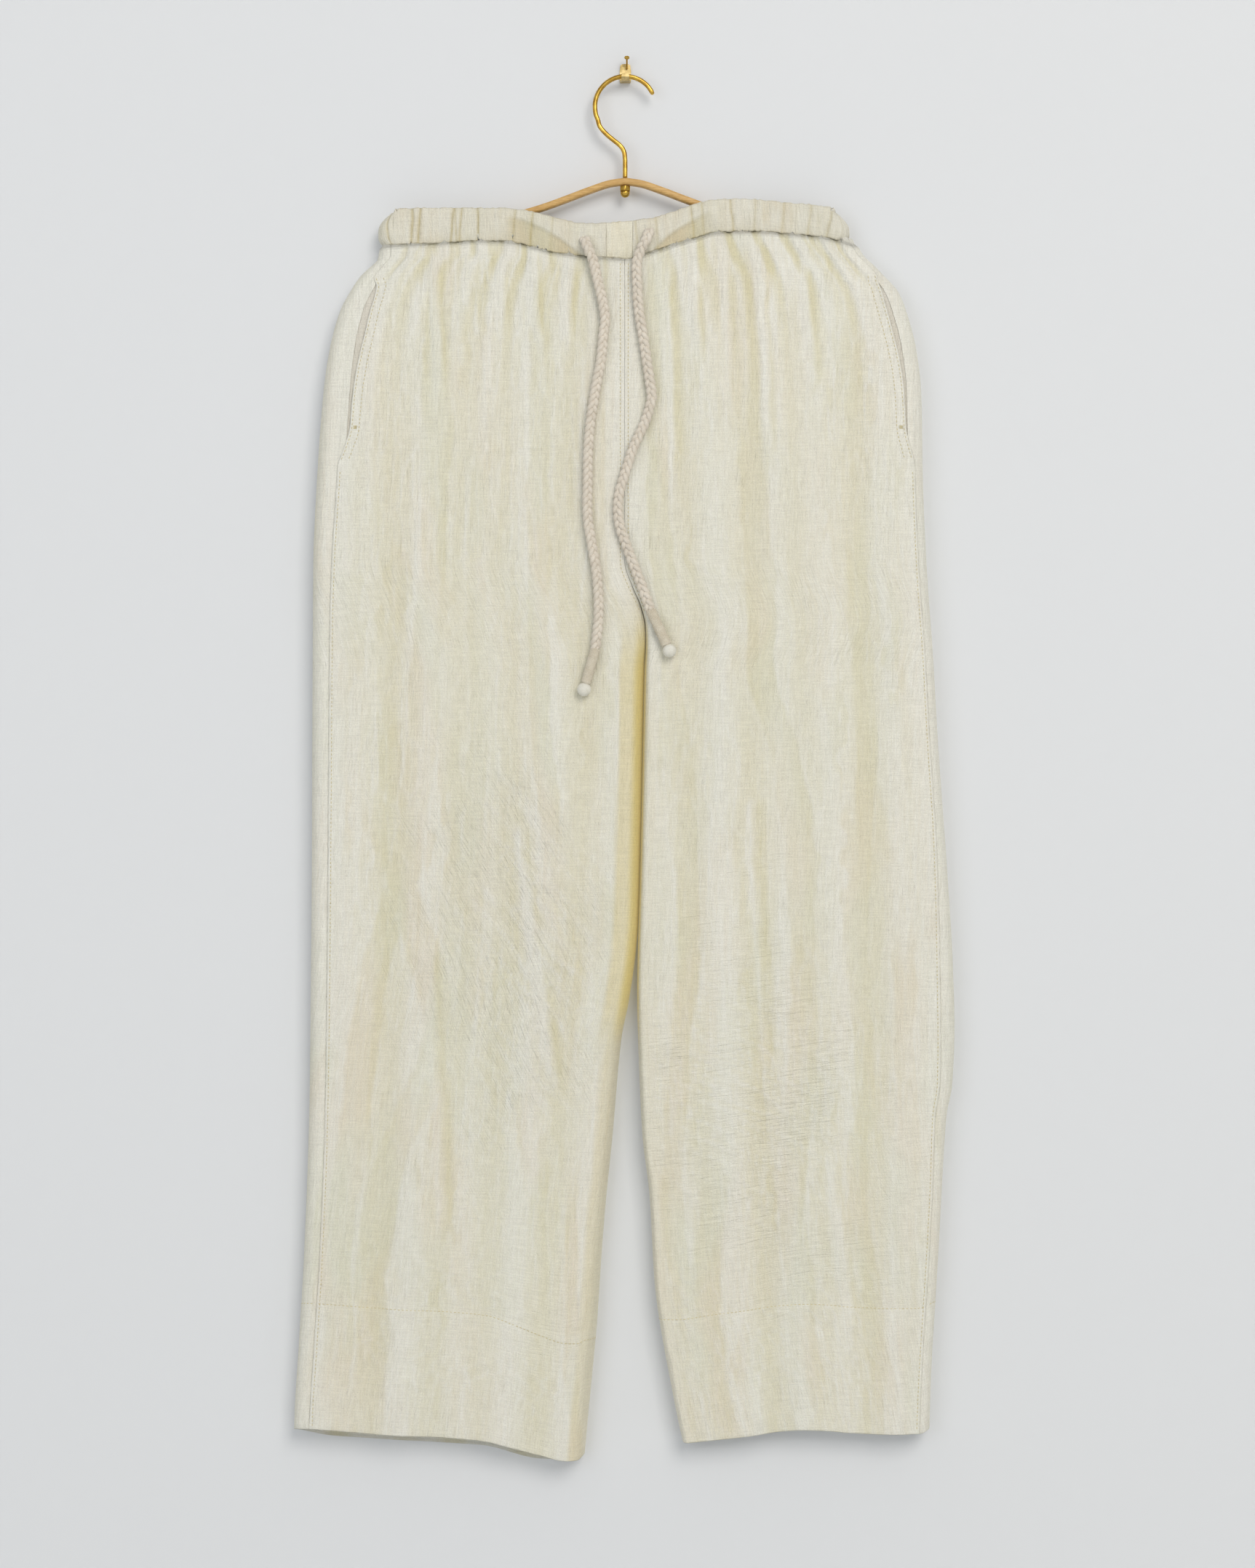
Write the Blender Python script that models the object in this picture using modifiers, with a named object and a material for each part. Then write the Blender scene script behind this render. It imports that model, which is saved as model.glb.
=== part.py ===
"""Drawstring trousers hung on a hook-topped hanger, as solids.

Sizes are in millimetres with Z up and the wearer facing -Y, so the wearer's right leg is at -X.
The origin is the underside of the hanger hook's crown, where the wall hook carries it.
"""

import math

import bmesh
import bpy
import numpy as np

MM = 0.001
RIGHT = -1
LEFT = 1

CLOTH = 1.2
HEM_CLOTH = 2.2
SEAM_GAP = 0.3
WAIST_Z = -133.0
HEM_Z = -1085.0
HEM_TOP_Z = -985.0

CAP_OUTER = 11.0
OUTER_FOLD_Y = -3.0
BAND_INNER_FRONT = -6.5
BAND_INNER_BACK = 4.5
BAND_FRONT = -9.8
BAND_BACK = 7.2
BAND_RIGHT_END = -198.0
BAND_LEFT_END = 179.4
TAB_RIGHT = -15.2
TAB_LEFT = 5.8
BAND_GATHERS = 48

CORD_RADIUS = 4.0
WRAP_RADIUS = 4.3
BEAD_RADIUS = 5.5
WIRE_RADIUS = 1.9
WALL_Y = 12.0


class Table:
    """A size read off against another by a smooth curve that never overshoots its points."""

    def __init__(self, *points):
        ordered = sorted(points)
        self.at = np.array([point[0] for point in ordered], float)
        self.value = np.array([point[1] for point in ordered], float)
        step = np.diff(self.at)
        slope = np.diff(self.value) / step
        self.slope = np.zeros_like(self.at)
        for i in range(1, len(self.at) - 1):
            if slope[i - 1] * slope[i] > 0:
                self.slope[i] = 2 / (1 / slope[i - 1] + 1 / slope[i])
        self.slope[0] = slope[0]
        self.slope[-1] = slope[-1]

    def __call__(self, at):
        at = np.clip(at, self.at[0], self.at[-1])
        i = np.clip(np.searchsorted(self.at, at) - 1, 0, len(self.at) - 2)
        step = self.at[i + 1] - self.at[i]
        u = (at - self.at[i]) / step
        rise = self.slope[i] * step * u * (1 - u) ** 2 - self.slope[i + 1] * step * u * u * (1 - u)
        return self.value[i] + (self.value[i + 1] - self.value[i]) * u * u * (3 - 2 * u) + rise


BAND_TOP = Table(
    (-198, -107.5), (-184, -105.5), (-150, -104.9), (-110, -104.9), (-89, -105.8), (-68, -109.3),
    (-50, -114.2), (-33, -117.2), (-12, -116.6), (0, -115.4), (23, -112.6), (39, -107.8),
    (55, -102), (69, -98.6), (94, -97.6), (124, -100.3), (156, -103.2), (170, -106), (180, -109),
)
WAIST = Table(
    (-198, -136.2), (-185, -134.6), (-150, -133.2), (-116, -131.2), (-90, -132.4), (-76, -135.6),
    (-61, -139.5), (-35, -143.2), (-12, -145), (0, -145.6), (20, -140), (39, -134), (55, -129),
    (72, -124.6), (100, -123.6), (132, -125.8), (156, -128.2), (170, -131), (180, -134),
)
HEM = {
    RIGHT: Table(
        (-266, -1078), (-246, -1079), (-198, -1082.9), (-140, -1085.8), (-112, -1088.4), (-90, -1093.9),
        (-68, -1100), (-48, -1104), (-38, -1103.6), (-33, -1097),
    ),
    LEFT: Table(
        (46, -1090.5), (71, -1087.5), (96, -1084.6), (124, -1080.8), (142, -1079.4), (160, -1080),
        (178, -1081.7), (204, -1082.9), (234, -1082.7), (245, -1078.5),
    ),
}
OUTER = {
    RIGHT: Table(
        (-125, -196), (-142, -198), (-149, -205), (-156, -212), (-170, -221), (-184, -228), (-219, -237),
        (-253, -241.5), (-323, -246.7), (-392, -249.6), (-636, -250.8), (-810, -252.5), (-949, -257.2),
        (-1018, -261.2), (-1076, -264.7), (-1110, -265.5),
    ),
    LEFT: Table(
        (-125, 183), (-135, 187), (-142, 191.5), (-149, 199), (-156, 205.5), (-170, 218), (-184, 224),
        (-219, 233), (-253, 236.7), (-323, 238), (-392, 241), (-462, 246), (-532, 250), (-636, 257.5),
        (-705, 261.7), (-760, 263.2), (-805, 261.5), (-829, 257), (-872, 254), (-950, 250), (-1050, 244.3),
        (-1110, 242.5),
    ),
}
INNER = {
    RIGHT: Table(
        (-125, -0.65), (-430, -0.65), (-470, 1.5), (-520, 6), (-578, 9), (-640, 9), (-700, 6.5), (-740, 2),
        (-768, -3), (-846, -10.2), (-932, -18.9), (-984, -23), (-1097, -33.4), (-1115, -34.5),
    ),
    LEFT: Table(
        (-125, -0.35), (-430, -0.35), (-470, 2.2), (-520, 8.8), (-578, 12.4), (-675, 10.6), (-734, 9.4),
        (-798, 11.2), (-846, 13.6), (-895, 19.4), (-960, 23.4), (-997, 28.6), (-1032, 35), (-1068, 42),
        (-1090, 46.6), (-1115, 49),
    ),
}
CAP_INNER = {RIGHT: 13.0, LEFT: 8.0}
INNER_FOLD_Y = {RIGHT: 2.0, LEFT: -2.0}
FRONT_Y = Table((-125, -9.4), (-150, -11), (-190, -13.5), (-250, -15.5), (-330, -16.5), (-480, -16.5), (-700, -15),
                (-900, -13.5), (-1000, -13.2), (-1115, -13.8))
BACK_Y = Table((-125, 7), (-180, 7.6), (-330, 8.6), (-700, 8.6), (-1115, 8.6))
SEAM_IN = {
    RIGHT: Table((-125, 9), (-160, 12), (-253, 16), (-320, 17), (-450, 14.5), (-1115, 13)),
    LEFT: Table((-125, 5), (-200, 6.5), (-320, 7), (-578, 7.5), (-750, 12), (-900, 8), (-1115, 9)),
}
POCKET_MOUTH = {
    RIGHT: Table((-140, 0), (-156, 0.5), (-166, 8), (-182, 11.5), (-202, 12), (-232, 10), (-256, 8.5), (-282, 8),
                 (-300, 3.5), (-312, 0), (-330, 0)),
    LEFT: Table((-140, 0), (-156, 0.5), (-166, 7), (-182, 10), (-202, 10.5), (-232, 9), (-256, 8), (-282, 7),
                (-300, 3), (-312, 0), (-330, 0)),
}
FRONT_CROTCH = Table((-395, 0), (-430, 0.25), (-455, 0.7), (-470, 1))
BACK_CROTCH = Table((-360, 0), (-420, 0.3), (-450, 0.7), (-470, 1))

ROWS = [
    -133, -139, -147, -156, -166, -182, -204, -232, -258, -284, -300, -312, -350, -395, -430, -455, -470,
    -510, -570, -650, -740, -800, -860, -930, -983, -987, -1085,
]
FRONT_COLUMNS = 26
BACK_COLUMNS = 15


def smooth(x):
    x = np.clip(x, 0, 1)
    return x * x * (3 - 2 * x)


def relief(side, q, z):
    """How far the cloth stands out of its plain section: gathers that die away into broad folds."""
    xi = np.where(q < 1, q, q - 1)
    front = q < 1
    depth = WAIST_Z - z
    drift = 0.05 * math.sin(z / 190 + side)
    waves = np.where(front, 8, 5)
    uneven = 0.16 * np.sin(7.1 * xi + side) + 0.1 * np.sin(12.7 * xi)
    gather = 1.5 * math.exp(-depth / 75) * np.cos(2 * math.pi * (waves * xi + uneven))
    low = 1 - math.exp(-depth / 110)
    broad = 1.7 * np.cos(2 * math.pi * (3.1 * xi + drift + 0.12 * side))
    broad = broad + 1.0 * np.cos(2 * math.pi * (5.3 * xi - 1.6 * drift + 0.3))
    edge = smooth(np.minimum(xi, 1 - xi) / 0.07)
    return edge * (gather + low * broad * np.where(front, 1, 0.45))


def back_drop(x):
    """How far the back of the waist hangs below the front, away from its two ends."""
    return 2.5 * smooth((np.minimum(x - BAND_RIGHT_END, BAND_LEFT_END - x) - 12) / 50)


def section(side, z):
    """The plain section of one half at a height, from the centre or inseam round the front and back."""
    x_in = float(INNER[side](z))
    x_out = float(OUTER[side](z))
    y_front = float(FRONT_Y(z))
    y_back = float(BACK_Y(z))
    mid = INNER_FOLD_Y[side]
    start = y_front + (mid - y_front) * float(FRONT_CROTCH(z))
    end = y_back + (mid - y_back) * float(BACK_CROTCH(z))
    cap = CAP_INNER[side]
    turn = np.linspace(0, math.pi / 2, 13)
    back_turn = turn[::-1]
    out_x = x_out - side * CAP_OUTER
    in_x = x_in + side * cap
    xs = [
        x_in + side * cap * (1 - np.cos(turn)),
        np.linspace(in_x, out_x, 40)[1:-1],
        out_x + side * CAP_OUTER * np.sin(turn),
        (out_x + side * CAP_OUTER * np.cos(turn))[1:],
        np.linspace(out_x, in_x, 40)[1:-1],
        x_in + side * cap * (1 - np.cos(back_turn)),
    ]
    ys = [
        start + (y_front - start) * np.sin(turn),
        np.full(38, y_front),
        OUTER_FOLD_Y + (y_front - OUTER_FOLD_Y) * np.cos(turn),
        (OUTER_FOLD_Y + (y_back - OUTER_FOLD_Y) * np.sin(turn))[1:],
        np.full(38, y_back),
        end + (y_back - end) * np.sin(back_turn),
    ]
    x = np.concatenate(xs)
    y = np.concatenate(ys)
    arc = np.concatenate([[0], np.cumsum(np.hypot(np.diff(x), np.diff(y)))])
    front = x[: 13 + 38 + 13]
    seam_x = x_out - side * float(SEAM_IN[side](z))
    seam = float(np.interp(side * seam_x, side * front, arc[: len(front)]))
    return x, y, arc, seam


def points(side, q, z):
    """World points of the outer face, for q 0..1 over the front panel and 1..2 over the back one."""
    x, y, arc, seam = section(side, z)
    q = np.asarray(q, float)
    at = np.where(q < 1, q * seam, seam + (q - 1) * (arc[-1] - seam))
    step = 1.5
    here_x = np.interp(at, arc, x)
    here_y = np.interp(at, arc, y)
    along_x = np.interp(at + step, arc, x) - np.interp(at - step, arc, x)
    along_y = np.interp(at + step, arc, y) - np.interp(at - step, arc, y)
    length = np.hypot(along_x, along_y)
    normal_x = side * along_y / length
    normal_y = -side * along_x / length
    stand = relief(side, q, z) * smooth((np.abs(normal_y) - 0.55) / 0.45)
    out_x = here_x + normal_x * stand
    out_y = here_y + normal_y * stand
    back = smooth(np.sin(math.pi * np.clip(q - 1, 0, 1)) * 1.6)
    near_top = 1 - smooth((WAIST_Z - z) / 130)
    near_hem = smooth((-880 - z) / 105)
    top = WAIST(out_x) - 0.55 - back_drop(out_x) * (q > 1)
    low = HEM[side](out_x) - (8 if side == RIGHT else 1) * back
    out_z = z + (top - WAIST_Z) * near_top + (low - HEM_Z) * near_hem
    return np.stack([out_x, out_y, out_z], axis=-1)


def surface(side, columns, rows, inset, edge_of=None):
    """The outer face moved in by an inset, one row of points for each height."""
    faces = []
    for z in rows:
        q = columns if edge_of is None else edge_of(z)
        q = np.clip(q, 1e-5, 2 - 1e-5)
        here = points(side, q, z)
        across = points(side, np.clip(q + 1e-3, 0, 2), z) - points(side, np.clip(q - 1e-3, 0, 2), z)
        down = points(side, q, z - 1.0) - points(side, q, z + 1.0)
        normal = np.cross(down, across) * side
        normal /= np.linalg.norm(normal, axis=1)[:, None]
        depth = inset(z) if callable(inset) else inset
        faces.append(here - normal * depth)
    return np.array(faces)


def panel_columns(side, z, front):
    """Where a panel's columns lie at a height, held back by half the gap at each seam."""
    _, _, arc, seam = section(side, z)
    if front:
        last = 1 - (SEAM_GAP / 2 + float(POCKET_MOUTH[side](z))) / seam
        spread = np.linspace(0, 1, FRONT_COLUMNS + 1) ** 1.12
        return SEAM_GAP / 2 / seam + spread * (last - SEAM_GAP / 2 / seam)
    rest = arc[-1] - seam
    spread = np.linspace(0, 1, BACK_COLUMNS + 1)
    spread = spread - 0.075 * np.sin(2 * math.pi * spread)
    return 1 + SEAM_GAP / 2 / rest + spread * (1 - (SEAM_GAP + 0.3) / rest)


def cloth_depth(z):
    return HEM_CLOTH if z < HEM_TOP_Z else CLOTH


def material(name, rgb, roughness, metallic=0.0):
    made = bpy.data.materials.new(name)
    made.use_nodes = True
    shader = made.node_tree.nodes["Principled BSDF"]
    shader.inputs["Base Color"].default_value = (*rgb, 1)
    shader.inputs["Roughness"].default_value = roughness
    shader.inputs["Metallic"].default_value = metallic
    made.diffuse_color = (*rgb, 1)
    return made


def add(name, data, finish):
    made = bpy.data.objects.new(name, data)
    data.materials.append(finish)
    bpy.data.collections["drawstring_trousers"].objects.link(made)
    return made


def lay_grid(sheet, laid):
    """Puts a grid's vertices at these points and returns them in reading order."""
    rows, columns = laid.shape[:2]
    made = bmesh.ops.create_grid(sheet, x_segments=columns - 1, y_segments=rows - 1, size=0.5)["verts"]
    order = [None] * (rows * columns)
    for vert in made:
        column = round((vert.co.x + 0.5) * (columns - 1))
        row = round((vert.co.y + 0.5) * (rows - 1))
        order[row * columns + column] = vert
    for vert, place in zip(order, laid.reshape(-1, 3)):
        vert.co = place * MM
    return order


def shell(name, outer, inner, finish):
    """A solid between two grids of the same size, closed round their edges."""
    sheet = bmesh.new()
    first = lay_grid(sheet, outer)
    second = lay_grid(sheet, inner)
    number = {vert: i for i, vert in enumerate(first)}
    rim = [edge for edge in sheet.edges if edge.is_boundary and edge.verts[0] in number]
    for edge in rim:
        a, b = edge.verts
        sheet.faces.new((a, b, second[number[b]], second[number[a]]))
    bmesh.ops.recalc_face_normals(sheet, faces=list(sheet.faces))
    data = bpy.data.meshes.new(name)
    sheet.to_mesh(data)
    sheet.free()
    return add(name, data, finish)


def panel(name, side, front, finish):
    def columns(z):
        return panel_columns(side, z, front)

    outer = surface(side, None, ROWS, 0.0, columns)
    inner = surface(side, None, ROWS, cloth_depth, columns)
    return shell(name, outer, inner, finish)


def pocket_bag(name, side, finish):
    """The facing and bag, one layer that lies 1 mm behind the front panel and ends just past the side seam."""
    low = -400.0
    rows = np.concatenate([np.linspace(-150, -300, 8), np.linspace(-322, low, 5)])

    def columns(z):
        _, _, _, seam = section(side, z)
        drop = smooth((-300 - z) / 100)
        reach = 84 - 34 * drop ** 2
        first = 1 - reach / seam
        last = 1 - (1.5 + 20 * drop) / seam
        return np.linspace(first, last, 10)

    outer = surface(side, None, rows, CLOTH + 1.0, columns)
    inner = surface(side, None, rows, CLOTH + 2.0, columns)
    return shell(name, outer, inner, finish)


def band_ring(first_x, last_x, count):
    """Stations round the band from one x on the front, by the right end and the back, to another."""
    reach = 9.0
    right = BAND_RIGHT_END + reach
    left = BAND_LEFT_END - reach
    turn = np.linspace(0, math.pi, 25)
    x = np.concatenate([
        np.linspace(first_x, right, 60), right - reach * np.sin(turn[1:]),
        np.linspace(right, left, 80)[1:], left + reach * np.sin(turn[1:]),
        np.linspace(left, last_x, 60)[1:],
    ])
    level = np.concatenate([
        np.full(60, -1.0), -np.cos(turn[1:]), np.full(79, 1.0), np.cos(turn[1:]), np.full(59, -1.0),
    ])
    depth = np.where(level < 0, -BAND_FRONT * level, BAND_BACK * level)
    arc = np.concatenate([[0], np.cumsum(np.hypot(np.diff(x), np.diff(depth)))])
    at = np.linspace(0, arc[-1], count)
    return np.interp(at, arc, x), np.interp(at, arc, level), at


def band_grid(x, level, wave):
    """Outer and inner grids of the band, with three rows from its bottom edge to its top."""
    outer = []
    inner = []
    centre = (BAND_RIGHT_END + BAND_LEFT_END) / 2
    end = smooth((np.abs(x - centre) - 178) / 9)
    back = back_drop(x) * (level > 0)
    for height, inward, swell in ((0.0, 0.9, 0.6), (0.55, 0.0, 1.0), (1.0, 1.0, 0.5)):
        lean = np.sign(x - centre) * end * (1 - (2 * height - 1.0) ** 2 - 1) * 3.5
        z = WAIST(x + lean) + (BAND_TOP(x + lean) - WAIST(x + lean)) * height - back
        outward = wave * swell - inward
        y = np.where(level < 0, -level * BAND_FRONT, level * BAND_BACK) + level * outward
        outer.append(np.stack([x + lean + np.sign(x - centre) * end * outward * 0.5, y, z], axis=-1))
        flat = np.where(level < 0, -level * BAND_INNER_FRONT, level * BAND_INNER_BACK)
        inner_x = centre + (x - centre) * (1 - 0.0165 * end)
        inner.append(np.stack([inner_x + lean, flat, z], axis=-1))
    return np.array(outer), np.array(inner)


def waistband(finish):
    x, level, at = band_ring(TAB_RIGHT - SEAM_GAP, TAB_LEFT + SEAM_GAP, 193)
    turns = 2 * math.pi * at / at[-1]
    wave = 1.1 * np.cos(BAND_GATHERS * turns + 0.9 * np.sin(5 * turns) + 0.7 * np.sin(11 * turns))
    ends = smooth(np.minimum(at, at[-1] - at) / 8)
    outer, inner = band_grid(x, level, wave * ends)
    return shell("waistband", outer, inner, finish)


def waistband_centre(finish):
    x = np.linspace(TAB_RIGHT, TAB_LEFT, 7)
    outer, inner = band_grid(x, np.full(7, -1.0), np.zeros(7))
    return shell("waistband_centre", outer, inner, finish)


def front_y(x, z):
    """How far forward the front cloth or the band stands at a place seen from the front."""
    if z > float(WAIST(x)):
        return BAND_FRONT
    side = RIGHT if x < float(INNER[RIGHT](z)) else LEFT
    seen = points(side, np.linspace(1e-4, 0.98, 240), z)
    order = np.argsort(seen[:, 0])
    return float(np.interp(x, seen[order, 0], seen[order, 1]))


def smooth_route(route, spacing):
    """Points at an even spacing along a smooth curve through the route's own points."""
    route = np.array(route, float)
    ends = np.vstack([2 * route[0] - route[1], route, 2 * route[-1] - route[-2]])
    fine = []
    for i in range(1, len(ends) - 2):
        a, b, c, d = ends[i - 1 : i + 3]
        for u in np.linspace(0, 1, 12, endpoint=False):
            fine.append(0.5 * (2 * b + (c - a) * u + (2 * a - 5 * b + 4 * c - d) * u * u
                               + (3 * b - a - 3 * c + d) * u ** 3))
    fine.append(route[-1])
    fine = np.array(fine)
    arc = np.concatenate([[0], np.cumsum(np.linalg.norm(np.diff(fine, axis=0), axis=1))])
    at = np.linspace(0, arc[-1], max(2, round(arc[-1] / spacing) + 1))
    return np.stack([np.interp(at, arc, fine[:, k]) for k in range(3)], axis=-1)


def tube(name, route, radius, finish, sides=2):
    curve = bpy.data.curves.new(name, "CURVE")
    curve.dimensions = "3D"
    curve.bevel_depth = radius * MM
    curve.bevel_resolution = sides
    curve.use_fill_caps = True
    spline = curve.splines.new("POLY")
    spline.points.add(len(route) - 1)
    for spot, place in zip(spline.points, route):
        spot.co = (*(np.asarray(place) * MM), 1)
    return add(name, curve, finish)


def drawstring(side_name, exit_at, route, wrap_from, bead_at, cord, thread, bead):
    """One free end: the plaited cord, the thread wound round it and the ball at its tip."""
    radius = CORD_RADIUS

    def lie(x, z, stand):
        spots = [front_y(x + across, z + up) for across in (-4, 0, 4) for up in (-6, 0, 6)]
        return np.array([x, min(spots) - stand, z])

    exit_x, exit_z = exit_at
    mouth = np.array([[exit_x, BAND_FRONT - 1.5, exit_z]])
    out = [
        np.array([exit_x, BAND_FRONT - 4.5, exit_z]),
        np.array([exit_x, BAND_FRONT - 8.4, exit_z - 2.8]),
    ]
    places = out + [lie(x, z, radius + 0.6) for x, z in route]
    wrap_start = lie(*wrap_from, radius + 0.6)
    ball = lie(*bead_at, BEAD_RADIUS + 0.6)
    places.append(wrap_start)
    line = np.vstack([mouth, smooth_route(places, 10.0)])
    last = line[-1] - line[-2]
    last /= np.linalg.norm(last)
    tube("drawstring_" + side_name, line, radius, cord)
    along = ball - line[-1]
    reach = np.linalg.norm(along)
    along /= reach
    start = line[-1] + last * 0.5 + along * 0.6
    middle = start + (ball - start) * 0.5
    tube("drawstring_wrap_" + side_name, [start, middle, ball - along * (BEAD_RADIUS + 0.3)],
         WRAP_RADIUS, thread)
    bpy.ops.mesh.primitive_uv_sphere_add(segments=14, ring_count=9, radius=BEAD_RADIUS * MM,
                                         location=[float(value) for value in ball * MM])
    made = bpy.context.object
    made.name = "drawstring_bead_" + side_name
    made.data.materials.append(bead)
    return made


def hanger_hook(finish):
    """The question-mark hook: its crown's underside is the origin."""
    turn = np.radians(np.linspace(24, 205, 30))
    crown = np.stack([24.4 * np.cos(turn), np.zeros(30), -22.5 + 24.4 * np.sin(turn)], axis=-1)
    neck = [(-20.2, 0, -38.6), (-15.2, 0, -44.4), (-9.3, 0, -49.4), (-4.2, 0, -53.6), (-1.2, 0, -58.2),
            (-0.3, 0, -64), (-0.2, 0, -72), (-0.2, 0, -79.4)]
    route = smooth_route(np.vstack([crown[::3], crown[-1:], neck]), 3.6)
    return tube("hanger_hook", route, WIRE_RADIUS, finish)


def hanger_arm(finish):
    """One bent lath, 8 mm deep and 5.6 mm thick, that ends inside the two ends of the waistband."""
    fall = Table((0, -82.6), (12, -84.4), (28, -89.6), (46, -96.4), (63, -102.6), (80, -107.8),
                 (110, -114.6), (140, -119.4), (165, -121.6), (195, -122.6))
    centre = -1.0
    stations = np.concatenate([[-193.1, -191.2], -np.linspace(187.5, 8, 12), [0],
                               np.linspace(8, 168.5, 11), [172.4, 174.2]])
    narrow = np.concatenate([[0.42, 0.78], np.ones(24), [0.78, 0.42]])
    ring = np.linspace(0, 2 * math.pi, 9)[:-1] + math.pi / 8
    sheet = bmesh.new()
    loops = []
    for x, part in zip(stations, narrow):
        slope = float(fall(abs(x) + 1) - fall(abs(x) - 1 if abs(x) > 1 else 0)) / 2
        lean = math.atan(slope) * (1 if x > 0 else -1) * (1 if abs(x) > 1 else 0)
        made = bmesh.ops.create_circle(sheet, cap_ends=False, segments=8, radius=1.0)["verts"]
        for vert, angle in zip(made, ring):
            deep = 4.3 * part * math.cos(angle)
            thick = 3.0 * part * math.sin(angle)
            vert.co = (
                (x - thick * math.sin(lean)) * MM,
                (centre + deep) * MM,
                (float(fall(abs(x))) + thick * math.cos(lean)) * MM,
            )
        loops.append(made)
    for before, after in zip(loops, loops[1:]):
        for i in range(8):
            j = (i + 1) % 8
            sheet.faces.new((before[i], before[j], after[j], after[i]))
    sheet.faces.new(loops[0])
    sheet.faces.new(loops[-1])
    bmesh.ops.recalc_face_normals(sheet, faces=list(sheet.faces))
    data = bpy.data.meshes.new("hanger_arm")
    sheet.to_mesh(data)
    sheet.free()
    return add("hanger_arm", data, finish)


def turned(name, profile, finish, steps=12):
    """A turned solid about its own Z, from a profile of radius and height."""
    data = bpy.data.meshes.new(name)
    sheet = bmesh.new()
    spots = [sheet.verts.new((radius * MM, 0, height * MM)) for radius, height in profile]
    for a, b in zip(spots, spots[1:]):
        sheet.edges.new((a, b))
    sheet.to_mesh(data)
    sheet.free()
    made = add(name, data, finish)
    screw = made.modifiers.new("turn", "SCREW")
    screw.axis = "Z"
    screw.steps = steps
    screw.render_steps = steps
    screw.use_merge_vertices = True
    screw.merge_threshold = 0.00001
    screw.use_normal_flip = True
    return made


def hanger_nut(finish):
    profile = [(0, -95.4), (1.7, -95.0), (3.0, -93.9), (3.7, -92.2), (3.8, -90.4), (4.4, -90.2),
               (4.4, -86.2), (0, -86.2)]
    made = turned("hanger_nut", profile, finish)
    made.location = (-0.2 * MM, 0, 0)
    return made


def wall_hook(finish):
    """A strip of plate: flat on the wall, then bent forward and up under the crown of the hook."""
    spine = [(11.4, 14.2), (11.4, 13.0), (11.4, 8.0), (11.4, 1.2), (10.9, -0.4), (9.4, -1.0), (4.0, -1.0),
             (-0.6, -1.0), (-2.4, -0.4), (-3.1, 1.0), (-3.1, 3.6)]
    half = [2.2, 4.0, 4.5, 4.5, 4.3, 4.0, 3.4, 3.2, 3.2, 3.2, 2.6]
    outer = []
    inner = []
    for i, ((y, z), wide) in enumerate(zip(spine, half)):
        before = np.array(spine[max(i - 1, 0)])
        after = np.array(spine[min(i + 1, len(spine) - 1)])
        along = (after - before) / np.linalg.norm(after - before)
        off = np.array([-along[1], along[0]]) * 0.6
        outer.append([(x * wide, y + off[0], z + off[1]) for x in (-1, 0, 1)])
        inner.append([(x * wide, y - off[0], z - off[1]) for x in (-1, 0, 1)])
    for grid in (outer, inner):
        for row in grid[:3]:
            for k, (x, y, z) in enumerate(row):
                row[k] = (x, WALL_Y if y > 11.4 else WALL_Y - 1.2, z)
    return shell("wall_hook", np.array(outer), np.array(inner), finish)


def wall_nail(finish):
    """The nail slants down to the face of the plate, with its head clear above."""
    made = turned("wall_nail", [(0, 0), (2.0, 0), (2.2, 0.7), (1.6, 1.3), (0.7, 1.5), (0.7, 11.2), (0, 11.2)],
                  finish, steps=10)
    made.location = (1.2 * MM, 1.6 * MM, 17.6 * MM)
    made.rotation_euler = (math.radians(-132), 0, 0)
    return made


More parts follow.
